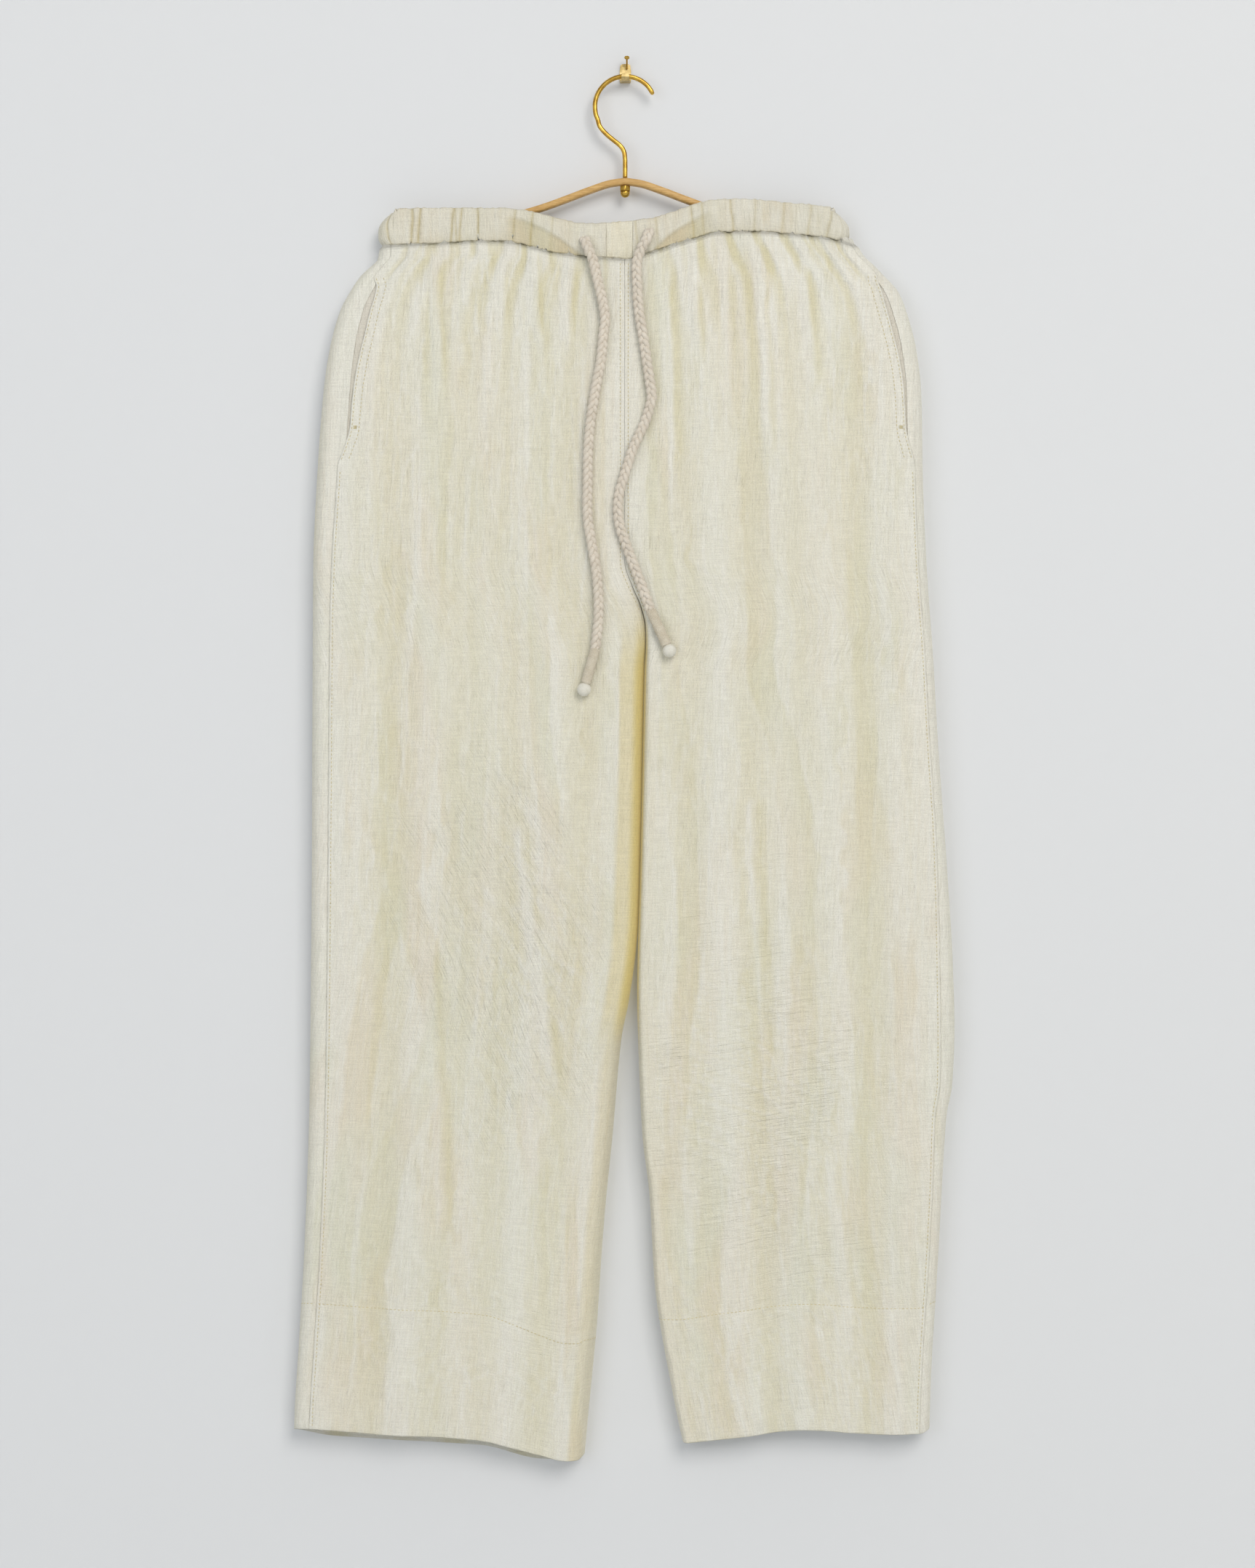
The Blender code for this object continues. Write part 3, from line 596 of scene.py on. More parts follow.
    def bands(self, side: Side, x: np.ndarray, z: float) -> np.ndarray:
        """How far each place lies in the duller, beige stripes between the silvery ones, 0 to 1. The
        silvery ones are painted sheen.
        """
        table = self.beige_right if side is Side.RIGHT else self.beige_left
        total = np.zeros_like(x)
        for centre, width, depth in table:
            reach = smooth((centre.at[-1] + 40 - z) / 60) * smooth((z - centre.at[0] + 60) / 90)
            if reach == 0:
                continue
            ragged = 3.5 * self.wander(x / 60 + 3, z / 48) + 1.3 * self.wander(x / 4, z / 11)
            near = np.abs(x - float(centre(z)) + ragged) / width
            block = 0.62 + 0.5 * smooth((self.patches(centre.at[0] / 7 + x / 40, z / 80) + 0.3) / 0.7)
            total = np.maximum(total, depth * float(reach) * block * (1 - smooth((near - 0.72) / 0.4)))
        small = self.patches(x / 10 + 0.8 * self.wander(x / 5, z / 16), z / 95 + 4.5)
        ragged_top = smooth((small - 0.25) / 0.25) * smooth((self.crumple(x / 30 + 7, z / 60) + 0.2) / 0.6)
        return np.clip(np.maximum(total, 0.55 * ragged_top), 0, 1)

    def front(self, side: Side, xi: np.ndarray, x: np.ndarray, z: float) -> np.ndarray:
        """How far the front cloth stands out of its plain section."""
        depth = self.form.waist_z - z
        sign = side.value
        swing = 0.05 * math.sin(z / 190 + sign)
        uneven = 0.16 * np.sin(7.1 * xi + sign) + 0.1 * np.sin(12.7 * xi)
        calm = 1 - 0.45 * np.exp(-((xi / 0.24) ** 2))
        main = 1.0 * calm * math.exp(-depth / 75) * np.cos(2 * math.pi * (8 * xi + uneven))
        phase = self.gathers * xi + 0.45 * np.sin(5.3 * xi + sign) + 0.3 * np.sin(13 * xi)
        phase = phase + 0.25 * self.wander(xi * 9, z / 70)
        fine = (1 - 2.2 * np.abs(np.sin(math.pi * phase)) ** 0.7) * (0.7 + 0.3 * self.wander(xi * 21, 3.3))
        fine = 0.8 * calm * math.exp(-depth / 48) * fine
        low = 1 - math.exp(-depth / 110)
        broad = 1.05 * np.cos(2 * math.pi * (3.1 * xi + swing + 0.12 * sign))
        broad = broad + 0.55 * np.cos(2 * math.pi * (5.3 * xi - 1.6 * swing + 0.3))
        trough = -0.35 * self.bands(side, x, z)
        creases = self.creases_right if side is Side.RIGHT else self.creases_left
        laid = np.zeros_like(x)
        sway = 1.2 * self.wander(3.1, z / 24)
        for line, top, bottom, height, width in creases:
            reach = smooth((top - z) / 14 + 0.5) * smooth((z - bottom) / 60 + 0.2)
            if reach == 0:
                continue
            near = (x - float(line(z)) + sway) / width
            ridge = np.exp(-np.abs(near)) - 0.5 * np.exp(-np.abs(near - 2.2))
            laid = laid + height * float(reach) * ridge
        crosswise = self.crosswise_right if side is Side.RIGHT else self.crosswise_left
        for level, tilt in crosswise:
            if abs(z - level) > self.crosswise_reach:
                continue
            off = z - level - tilt * x + 2.2 * self.wander(x / 30, level)
            laid = laid + 0.55 * (0.5 + 0.5 * self.patches(x / 34, level)) * np.exp(-np.abs(off) / 1.6)
        pucker = 0.5 * math.exp(-depth / 6) * self.crumple(x / 1.7, 2.2 + depth / 9)
        pucker = pucker + 0.5 * math.exp(-depth / 16) * self.crumple(x / 3.1, 7.2 + depth / 30)
        turned = 0.5 * float(smooth((-984.5 - z) / 2.5))
        return main + fine + pucker + low * broad + trough + laid + turned + self.crinkle(side, x, z)

    def crinkle(self, side: Side, x: np.ndarray, z: float) -> np.ndarray:
        """Fine wrinkles: mostly upright, aslant on one leg, and level across the other below the knee."""
        upright = self.crumple.ridged(x / 5.5 + 0.5 * self.wander(x / 20, z / 20), z / 46)
        upright = upright + 0.7 * self.crumple.ridged(x / 3.6 + 20, z / 22)
        weight = 0.16 + 0.22 * smooth(self.patches(x / 45, z / 90) + 0.4)
        total = weight * upright
        if side is Side.RIGHT:
            zone = np.exp(-(((x + 78) / 48) ** 2)) * math.exp(-(((z + 700) / 135) ** 2))
            slant = x * 0.78 + z * 0.62
            along = -x * 0.62 + z * 0.78
            total = total + 0.75 * zone * self.crumple.ridged(slant / 7 + 9, along / 34)
        else:
            zone = np.exp(-(((x - 80) / 85) ** 2)) * math.exp(-(((z + 812) / 90) ** 2))
            total = total + 0.65 * zone * self.crumple.ridged(z / 5 + 0.004 * x * x / 9, x / 34 + 5)
        hem = math.exp(-(((z + 1000) / 70) ** 2))
        puckers = self.crumple.ridged(x / 9 + z / 15 + 40, z / 13 - x / 28)
        return total + 0.5 * hem * puckers * smooth(self.patches(x / 30 + 8, z / 40) + 0.5)

    def back(self, side: Side, xi: np.ndarray, x: np.ndarray, z: float) -> np.ndarray:
        """How far the back cloth stands out, flatter because it hangs against the wall."""
        depth = self.form.waist_z - z
        sign = side.value
        swing = 0.05 * math.sin(z / 190 + sign)
        uneven = 0.16 * np.sin(7.1 * xi + sign) + 0.1 * np.sin(12.7 * xi)
        main = 0.8 * math.exp(-depth / 75) * np.cos(2 * math.pi * (5 * xi + uneven))
        phase = self.gathers * xi + 0.4 * np.sin(6.1 * xi + 2 * sign)
        phase = phase + 0.2 * self.wander(xi * 8 + 9, z / 70)
        fine = 0.7 * math.exp(-depth / 45) * (1 - 2.2 * np.abs(np.sin(math.pi * phase)) ** 0.7)
        low = 1 - math.exp(-depth / 110)
        broad = 1.7 * np.cos(2 * math.pi * (3.1 * xi + swing + 0.12 * sign))
        broad = broad + 1.0 * np.cos(2 * math.pi * (5.3 * xi - 1.6 * swing + 0.3))
        creases = 0.0
        for centre, top, bottom in self.back_creases:
            reach = smooth((top - z) / 40 + 0.4) * smooth((z - bottom) / 80 + 0.2)
            if reach == 0:
                continue
            near = (xi - centre + 0.012 * self.wander(1.7, z / 30)) / 0.016
            creases = creases + 0.9 * float(reach) * np.exp(-np.abs(near))
        pucker = 0.5 * math.exp(-depth / 6) * self.crumple(x / 1.7, 12.2 + depth / 9)
        turned = 0.5 * float(smooth((-984.5 - z) / 2.5))
        rest = creases + pucker + turned + 0.8 * self.crinkle(side, -x * sign * 0.9 + 14, z)
        return main + fine + 0.45 * low * broad + rest

    def arc_at(self, q: np.ndarray, arc: np.ndarray, seam: float) -> np.ndarray:
        """The arc length at q, which is 0 to 1 over the front panel and 1 to 2 over the back one."""
        return np.where(q < 1, q * seam, seam + (q - 1) * (arc[-1] - seam))

    def points(self, side: Side, q: np.ndarray, z: float) -> np.ndarray:
        """Points of the outer face at one nominal height.

        Args:
            side: which leg.
            q: 0 to 1 over the front panel and 1 to 2 over the back one.
            z: the nominal height.

        Returns:
            One point for each q, in millimetres.
        """
        form = self.form
        sign = side.value
        x, y, arc, seam = form.section(side, z)
        q = np.asarray(q, float)
        at = self.arc_at(q, arc, seam)
        here_x = np.interp(at, arc, x)
        here_y = np.interp(at, arc, y)
        along_x = np.interp(at + 1.5, arc, x) - np.interp(at - 1.5, arc, x)
        along_y = np.interp(at + 1.5, arc, y) - np.interp(at - 1.5, arc, y)
        length = np.hypot(along_x, along_y)
        normal_x = sign * along_y / length
        normal_y = -sign * along_x / length
        ahead = q < 1  # The front panel.
        xi = np.where(ahead, q, q - 1)
        span = np.where(ahead, seam, arc[-1] - seam)
        edge = smooth(np.minimum(xi, 1 - xi) * span / 15)
        stand = np.empty_like(here_x)
        for part, relief in ((ahead, self.front), (~ahead, self.back)):
            if part.any():
                stand[part] = relief(side, xi[part], here_x[part], z)
        lip = form.mouth(side, z)
        to_edge = np.abs((1 - xi) * span - lip)
        lift = 0.7 * min(lip / 6, 1.0) * np.exp(-to_edge / 7) * ahead
        stand = edge * stand * smooth((np.abs(normal_y) - 0.55) / 0.45) + lift
        out_x = here_x + normal_x * stand
        out_y = here_y + normal_y * stand
        back = smooth(np.sin(math.pi * np.clip(q - 1, 0, 1)) * 1.6)
        near_top = float(1 - smooth((form.waist_z - z) / 130))
        near_hem = float(smooth((-880 - z) / 105))
        top = form.waist(out_x) - 0.35 - form.back_drop(out_x) * (q > 1)
        hem = form.hem_right if side is Side.RIGHT else form.hem_left
        low_edge = hem(out_x) - (8 if side is Side.RIGHT else 1) * back
        out_z = z + (top - form.waist_z) * near_top + (low_edge - form.hem_z) * near_hem
        return np.stack([out_x, out_y, out_z], axis=-1)

    def normals(self, side: Side, q: np.ndarray, z: float) -> np.ndarray:
        """The outward directions that go with points."""
        pair = self.points(side, np.clip(np.concatenate([q + 1e-3, q - 1e-3]), 0, 2), z)
        across = pair[: len(q)] - pair[len(q) :]
        down = self.points(side, q, z - 0.8) - self.points(side, q, z + 0.8)
        normal = np.cross(down, across) * side.value
        return normal / np.linalg.norm(normal, axis=1)[:, None]

    def front_y(self, x: float, z: float) -> float:
        """How far forward the front cloth or the band stands at a place seen from the front."""
        form = self.form
        if z > float(form.waist(x)):
            return form.band_front
        side = Side.RIGHT if x < float(form.inner_right(z)) else Side.LEFT
        seen = self.points(side, np.linspace(1e-4, 0.98, 200), z)
        order = np.argsort(seen[:, 0])
        return float(np.interp(x, seen[order, 0], seen[order, 1]))


@dataclass(frozen=True)
class SilkFinish:
    """Crinkled silk: fine slubbed yarns lie silvery in some stripes and duller, warmer ones in others. The
    silvery stripes are painted sheen, lighter colour where the silk would catch the light.
    """

    name: str
    light: str = "#e5e2d5"
    silver: str = "#e1e1d9"
    green: str = "#d6d5c0"
    rose: str = "#dbd1bb"
    # Painted shade: the deep colour darkens the hollows between folds.
    deep: str = "#d0c8a0"
    # Painted light and yellow shade where light would come through between the legs.
    painted_glow: str = "#c9b878"
    roughness: float = 0.5

    def crinkles(
        self, tree: bpy.types.NodeTree, cloth: bpy.types.NodeSocket, turn: float,
        across: float, along: float,
    ) -> bpy.types.NodeSocket:
        """Sharp little pressed lines that run one way.

        Args:
            tree: the material's node tree.
            cloth: the cloth's coordinates in metres.
            turn: how far the lines lean from upright, in degrees.
            across: lines in a metre across them.
            along: lines in a metre along them.

        Returns:
            A height from 0 on the lines to about 0.2 between them.
        """
        leaned = put(tree, "Mapping", {"Vector": cloth, "Rotation": (0, 0, math.radians(turn))}).outputs[0]
        noise = drift(tree, leaned, (across, along, 1), Detail=3, Distortion=0.35)
        return reckon(tree, "ABSOLUTE", reckon(tree, "SUBTRACT", noise, 0.5))

    def colour(
        self, tree: bpy.types.NodeTree, cloth: bpy.types.NodeSocket, marks: dict,
        mixed: bpy.types.NodeSocket,
    ) -> bpy.types.NodeSocket:
        """The cloth's colour: silvery in some stripes and dull in others, the silvery ones a painted sheen;
        painted shade, darker and yellower, in the folds; painted yellow light and shade where light would
        come through between the legs.
        """
        # Slubs are 1.2 mm thick places in the yarn, 14 mm long, in the warp and in the weft.
        warp = drift(tree, cloth, (900, 70, 1))
        weft = drift(tree, cloth, (60, 1000, 1))
        # One dye lot shifts between greenish and rosy beige over about 60 mm.
        shift = ramp(tree, drift(tree, cloth, (24, 7, 1), Detail=1), 0.42, 0.58)
        pale = blend(tree, warp, self.light, self.silver)
        dull = blend(tree, shift, self.green, self.rose)
        # Painted shade: a darker, yellower colour in the hollows between folds.
        fold_shaded = blend(tree, marks["painted_shade"], blend(tree, mixed, pale, dull), self.deep)
        # Painted light and yellow shade between the legs, where light would come through.
        lit = blend(tree, marks["painted_glow"], fold_shaded, self.painted_glow)
        grit = drift(tree, cloth, (1000, 800, 1), Detail=1)
        yarns = reckon(tree, "ADD", reckon(tree, "ADD", warp, weft), grit)
        shade = ramp(tree, yarns, 1.1, 1.9, 0.885, 1.095)
        return put(tree, "VectorMath", {0: lit, "Scale": shade}, operation="SCALE").outputs[0]

    def relief(
        self, tree: bpy.types.NodeTree, cloth: bpy.types.NodeSocket, marks: dict
    ) -> bpy.types.NodeSocket:
        """The direction that the surface faces, with its pressed crinkles and its weave."""
        # Crinkles are 2 mm apart and 18 mm long. They lean or lie level where the cloth was wrung.
        upright = self.crinkles(tree, cloth, 4, 420, 55)
        slant = self.crinkles(tree, cloth, -30, 480, 48)
        level = self.crinkles(tree, cloth, 82, 420, 30)
        press = put(tree, "Mix", {0: marks["slant"], 2: upright, 3: slant}).outputs[0]
        press = put(tree, "Mix", {0: marks["level"], 2: press, 3: level}).outputs[0]
        wrung = reckon(tree, "MAXIMUM", marks["slant"], marks["level"])
        press = reckon(tree, "MULTIPLY", press, ramp(tree, wrung, 0, 1, 1.0, 1.5))
        lines = put(tree, "Bump", {"Strength": 0.75, "Distance": 0.002, "Height": press}, invert=True)
        # The weave is 0.4 mm in the real cloth, drawn at 0.8 mm so that it shows as grain.
        weave = {"Strength": 0.8, "Distance": 0.0005, "Height": drift(tree, cloth, (1300, 1300, 1))}
        return put(tree, "Bump", {**weave, "Normal": lines.outputs[0]}).outputs[0]

    def build(self) -> bpy.types.Material:
        """Makes the material. It reads the cloth's own UV map, in metres, and its marks."""
        made, tree, shader = blank(self.name)
        cloth = put(tree, "UVMap", uv_map="cloth").outputs[0]
        marks = {
            mark: put(tree, "Attribute", attribute_name=mark).outputs["Fac"]
            for mark in ("tone", "painted_shade", "painted_glow", "slant", "level")
        }
        # Streaks are 3 mm wide and run 70 mm down the cloth.
        streak = drift(tree, cloth, (330, 14, 1), Detail=3, Roughness=0.6)
        swing = ramp(tree, streak, 0.3, 0.7, -0.16, 0.16)
        # Painted sheen: where the tone is low, the cloth is painted in its pale, silvery colour.
        mixed = reckon(tree, "ADD", marks["tone"], swing, use_clamp=True)
        fill(tree, shader, {
            "Base Color": self.colour(tree, cloth, marks, mixed),
            "Roughness": ramp(tree, mixed, 0, 1, self.roughness - 0.07, self.roughness + 0.1),
            "Normal": self.relief(tree, cloth, marks),
            # Painted light: where the mark is strong, the cloth gives off a little yellowish light in place
            # of light from behind coming through the two layers.
            "Emission Strength": ramp(tree, marks["painted_glow"], 0.3, 1.0, 0.0, 0.2),
            "Emission Color": linear(self.painted_glow),
            "Sheen Weight": 0.25,
            "Sheen Roughness": 0.45,
            "Sheen Tint": linear("#f4f0e2"),
            "IOR": 1.45,
        })
        return made


@dataclass(frozen=True)
class CordFinish:
    """Soft cotton yarn in a plait or a whipping: matt, with fibres that run along it."""

    name: str
    light: str = "#e3dbcd"
    dark: str = "#cdc3b3"
    fibre: float = 1400.0

    def build(self) -> bpy.types.Material:
        """Makes the material. It reads Object coordinates."""
        made, tree, shader = blank(self.name)
        place = put(tree, "TexCoord").outputs["Object"]
        # Fibres are finer than the render shows, so they are drawn 0.7 mm wide.
        fibres = grain_of(tree, place, self.fibre, 3, 0.6)
        blotch = grain_of(tree, place, 160)
        mixed = put(tree, "Mix", {0: 0.45, 2: fibres, 3: blotch}).outputs[0]
        fill(tree, shader, {
            "Base Color": blend(tree, ramp(tree, mixed, 0.35, 0.65), self.dark, self.light),
            "Roughness": ramp(tree, blotch, 0, 1, 0.78, 0.92),
            "Normal": dents(tree, fibres, 0.5, 0.0004),
            "Sheen Weight": 0.25,
            "Sheen Roughness": 0.5,
        })
        return made


@dataclass(frozen=True)
class BrassFinish:
    """Lacquered brass, drawn and lightly buffed: satin gold with darker handling marks."""

    name: str
    bright: str = "#d9b355"
    dull: str = "#a98236"
    roughness: float = 0.27

    def build(self) -> bpy.types.Material:
        """Makes the material. It reads Object coordinates."""
        made, tree, shader = blank(self.name)
        place = put(tree, "TexCoord").outputs["Object"]
        # Handling marks are about 6 mm across and buffing lines 0.4 mm.
        marks = grain_of(tree, place, 170, 4, 0.6)
        buffing = grain_of(tree, place, 2400)
        fill(tree, shader, {
            "Base Color": blend(tree, ramp(tree, marks, 0.35, 0.65), self.dull, self.bright),
            "Roughness": ramp(tree, marks, 0, 1, self.roughness + 0.12, self.roughness - 0.06),
            "Normal": dents(tree, buffing, 0.15, 0.0001),
            "Metallic": 1.0,
        })
        return made


@dataclass(frozen=True)
class WoodFinish:
    """Steam-bent beech under a thin satin lacquer: golden, with fine darker grain along its length."""

    name: str
    pale: str = "#d9b271"
    grain: str = "#ad8242"

    def build(self) -> bpy.types.Material:
        """Makes the material. It reads Object coordinates, with the grain along X."""
        made, tree, shader = blank(self.name)
        place = put(tree, "TexCoord").outputs["Object"]
        # Grain lines are 1 mm apart and run 60 mm along the lath.
        lines = drift(tree, place, (16, 1000, 1000), Detail=4, Roughness=0.6)
        fleck = drift(tree, place, (260, 2200, 2200))
        mixed = put(tree, "Mix", {0: 0.3, 2: lines, 3: fleck}).outputs[0]
        fill(tree, shader, {
            "Base Color": blend(tree, ramp(tree, mixed, 0.33, 0.62), self.grain, self.pale),
            "Roughness": ramp(tree, lines, 0, 1, 0.5, 0.36),
            "Normal": dents(tree, mixed, 0.3, 0.0002),
        })
        return made


@dataclass(frozen=True)
class WallFinish:
    """Matt emulsion on smooth plaster, seen and shaded from its front only."""

    name: str
    tint: str = "#dddfe1"
    one_sided: bool = True

    def build(self) -> bpy.types.Material:
        """Makes the material. It reads Object coordinates."""
        made, tree, shader = blank(self.name)
        place = put(tree, "TexCoord").outputs["Object"]
        # Roller texture is about 3 mm.
        fill(tree, shader, {
            "Base Color": linear(self.tint),
            "Roughness": 0.9,
            "Normal": dents(tree, grain_of(tree, place, 330), 0.04, 0.0003),
        })
        if self.one_sided:
            clear = put(tree, "BsdfTransparent").outputs[0]
            behind = put(tree, "NewGeometry").outputs["Backfacing"]
            shadow = put(tree, "LightPath").outputs["Is Shadow Ray"]
            either = reckon(tree, "MAXIMUM", behind, shadow)
            both = put(tree, "MixShader", {0: either, 1: shader.outputs[0], 2: clear}).outputs[0]
            tree.links.new(both, tree.nodes["Material Output"].inputs["Surface"])
        return made


def blank(name: str) -> tuple[bpy.types.Material, bpy.types.NodeTree, bpy.types.Node]:
    """A new material with its node tree and its one Principled shader."""
    made = bpy.data.materials.new(name)
    made.use_nodes = True
    tree = made.node_tree
    return made, tree, tree.nodes["Principled BSDF"]


def dress(piece: bpy.types.Object, finish: bpy.types.Material, slot: Slot, *nodes: str) -> bpy.types.Object:
    """Gives a piece its finish and its body, and hides the CAD nodes that it stands for."""
    piece.data.materials.clear()
    piece.data.materials.append(finish)
    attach(piece, "root")
    if nodes:
        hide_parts(*nodes)
    return piece


@dataclass
class Trousers:
    """The four panels and the two pocket facings."""

    folds: Folds
    front_columns: int = 200
    back_columns: int = 100

    def rows(self, count: int) -> list[tuple[float, float]]:
        """Heights and insets: out from under the casing, down, round the hem's edge and up inside it."""
        under = [(-127.0, 2.4), (-131.0, 2.2), (-133.0, 1.1), (-133.8, 0.5), (-134.8, 0.1)]
        top = np.linspace(self.folds.form.waist_z - 3.5, -330, round(count * 0.32))
        rest = np.linspace(-330, self.folds.form.hem_z, round(count * 0.68))[1:]
        outer = [(float(z), 0.0) for z in np.concatenate([top, rest])]
        edge = [
            (-1085.4, 0.2), (-1085.5, 0.6), (-1085.2, 1.0), (-1083, 1.2), (-1070, 1.5), (-1030, 1.6),
            (-986, 1.6),
        ]
        return under + outer + edge

    def front_line(self, side: Side, z: float) -> tuple[np.ndarray, np.ndarray]:
        """Where the front panel's columns lie at a height, and their insets: its edge is turned under."""
        _, _, _, seam = self.folds.form.section(side, z)
        last = 1 - self.folds.form.mouth(side, z) / seam
        under = [last, last - 0.4 / seam, last - 2 / seam, last - 9 / seam]
        q = np.concatenate([np.linspace(1e-5, last, self.front_columns), under])
        inset = np.concatenate([np.zeros(self.front_columns), [0.3, 0.5, 0.55, 0.55]])
        return np.clip(q, 1e-5, 1 - 1e-5), inset

    def back_line(self, side: Side, z: float) -> tuple[np.ndarray, np.ndarray]:
        """Where the back panel's columns lie and their insets: it starts under the front panel's edge."""
        _, _, arc, seam = self.folds.form.section(side, z)
        rest = arc[-1] - seam
        under = np.array([6.0, 4.0, 2.0, 0.6])
        q = np.concatenate([1 - under / seam, 1 + np.linspace(0.2, rest - 0.02, self.back_columns) / rest])
        away = np.linspace(0.2, rest, self.back_columns)
        inset = 0.7 * np.concatenate([np.ones(4), 1 - smooth(away / 2.5)])
        return np.clip(q, 0, 2 - 1e-5), inset

    def tone(self, side: Side, x: np.ndarray, z: float) -> np.ndarray:
        """How beige the cloth looks, 0 to 1: in stripes between painted silvery sheen, more towards the
        hem, less where it is double.
        """
        base = 0.14 + 0.12 * float(smooth((-560 - z) / 420)) - 0.12 * float(smooth((-984 - z) / 3))
        return np.clip(base + 0.42 * self.folds.bands(side, x, z), 0, 1)

    def painted_glow(self, side: Side, x: np.ndarray, z: float) -> np.ndarray:
        """Painted yellowish light and yellow shade on the inner side of the legs, most where they touch
        each other, where light would come through the cloth.
        """
        form = self.folds.form
        table = form.inner_right if side is Side.RIGHT else form.inner_left
        inward = (x - float(table(z))) * side.value
        window = float(smooth((-400 - z) / 80) * smooth((z + 800) / 70))
        low = float(smooth((-430 - z) / 90))
        if side is Side.RIGHT:
            ragged = 1.2 * self.folds.wander(x / 3, z / 40)
            core = 0.45 * (1 - smooth((inward - 4) / 7))
            strip = 0.5 * (1 - smooth((inward - 17 + ragged) / 5))
            return np.maximum(window * (core + strip), 0.3 * low * (1 - smooth((inward - 11 + ragged) / 6)))
        lip = 0.8 * window * (1 - smooth((inward - 0.6) / 1.6))
        return np.maximum(lip, 0.16 * low * (1 - smooth((inward - 8) / 8)))

    def zones(self, side: Side, x: np.ndarray, z: float) -> tuple[np.ndarray, np.ndarray]:
        """Where the crinkles lean and where they lie level, 0 to 1 each."""
        wander = self.folds.wander(x / 30 + 2, z / 30)

        def patch(middle: float, width: float, height: float, tall: float, gain: float) -> np.ndarray:
            """A soft round patch, in millimetres."""
            down = math.exp(-(((z - height) / tall) ** 2))
            return np.exp(-(((x - middle) / width) ** 2)) * down * gain

        if side is Side.RIGHT:
            slant = patch(-95, 82, -690, 190, 1.5) + 0.4 * wander
            level = patch(-60, 60, -985, 60, 0.5)
        else:
            slant = patch(200, 40, -900, 90, 0.8) + 0.2 * wander
            level = patch(90, 120, -830, 150, 1.1) + 0.45 * wander
        return np.clip(slant, 0, 1), np.clip(level, 0, 1)

    def hollows(self, laid: np.ndarray, columns: int, outward: float) -> np.ndarray:
        """How deep each place lies between its neighbours, 0 to 1: shade is painted there, in a darker,
        yellower colour.

        Args:
            laid: the panel's points.
            columns: how many of its columns are the panel's face.
            outward: the sign of Y that this face looks to.

        Returns:
            One depth for each point.
        """
        reach = 9
        stand = laid[:, :, 1] * outward
        padded = np.pad(stand, ((0, 0), (reach, reach)), mode="edge")
        total = np.cumsum(padded, axis=1)
        before = np.pad(total[:, : -2 * reach - 1], ((0, 0), (1, 0)))
        mean = (total[:, 2 * reach :] - before) / (2 * reach + 0.5)
        edge = np.minimum(np.arange(columns), np.arange(columns)[::-1])
        depth = np.clip((mean - stand - 0.1) / 1.5, 0, 0.75)
        depth[:, :columns] *= smooth((edge - 5) / 14)
        depth[:, columns:] = 0.1
        return depth

    def sheet(self, side: Side, front: bool, finish: bpy.types.Material) -> bpy.types.Object:
        """One panel, with its deep hem turned up inside."""
        laid, uv = [], []
        marks: dict[str, list[np.ndarray]] = {"tone": [], "painted_glow": [], "slant": [], "level": []}
        shift = 0.0 if front else 9.0
        for z, turned in self.rows(430 if front else 190):
            q, inset = self.front_line(side, z) if front else self.back_line(side, z)
            here = self.folds.points(side, q, z)
            moved = inset + turned > 0
            if moved.any():
                here[moved] -= self.folds.normals(side, q[moved], z) * (inset + turned)[moved, None]
            _, _, arc, seam = self.folds.form.section(side, z)
            at = self.folds.arc_at(q, arc, seam)
            laid.append(here)
            place = at * MM * side.value + (1 if front else 3)
            uv.append(np.stack([place, np.full(len(q), z * MM - turned * 0.1)], axis=-1))
            x = here[:, 0]
            marks["tone"].append(self.tone(side, x + shift, z))
            # Painted light and yellow shade on the inner side of the legs.
            marks["painted_glow"].append(self.painted_glow(side, x, z))
            slant, level = self.zones(side, x, z)
            marks["slant"].append(slant)
            marks["level"].append(level)
        fields = {mark: np.array(values) for mark, values in marks.items()}
        grid = np.array(laid)
        outward = -1.0 if front else 1.0
        # Painted shade in the hollows between folds.
        fields["painted_shade"] = self.hollows(grid, self.front_columns if front else grid.shape[1], outward)
        half = "front" if front else "back"
        word = side.name.lower()
        made = cloth_sheet(f"{half}_silk_{word}", grid, np.array(uv), fields, (0, outward, 0))
        dress(made, finish, Slot.SILK, f"{half}_panel_{word}")
        return made

    def facing(self, side: Side, finish: bpy.types.Material) -> bpy.types.Object:
        """The pocket's facing and bag, one layer that shows in the pocket's mouth."""
        laid, uv, tone = [], [], []
        for z in np.linspace(-148, -400, 90):
            _, _, _, seam = self.folds.form.section(side, z)
            drop = float(smooth((-300 - z) / 100))
            q = np.linspace(1 - (84 - 34 * drop**2) / seam, 1 - (1.5 + 20 * drop) / seam, 60)
            here = self.folds.points(side, q, z) - self.folds.normals(side, q, z) * 1.3
            laid.append(here)
            uv.append(np.stack([q * seam * MM + 5, np.full(60, z * MM)], axis=-1))
            tone.append(0.25 + 0.3 * self.folds.patches(here[:, 0] / 9, z / 60))
        blank_field = np.zeros((90, 60))
        marks = {"tone": np.clip(np.array(tone), 0, 1), "painted_shade": blank_field, "painted_glow": blank_field}
        word = side.name.lower()
        made = cloth_sheet("pocket_facing_" + word, np.array(laid), np.array(uv), marks, (0, -1, 0))
        dress(made, finish, Slot.SILK, "pocket_bag_" + word)
        return made

    def build(self, silk: bpy.types.Material, facing: bpy.types.Material) -> list[bpy.types.Object]:
        """All six cloth pieces."""
        made = []
        for side in Side:
            for front in (True, False):
                made.append(self.sheet(side, front, silk))
            made.append(self.facing(side, facing))
        return made


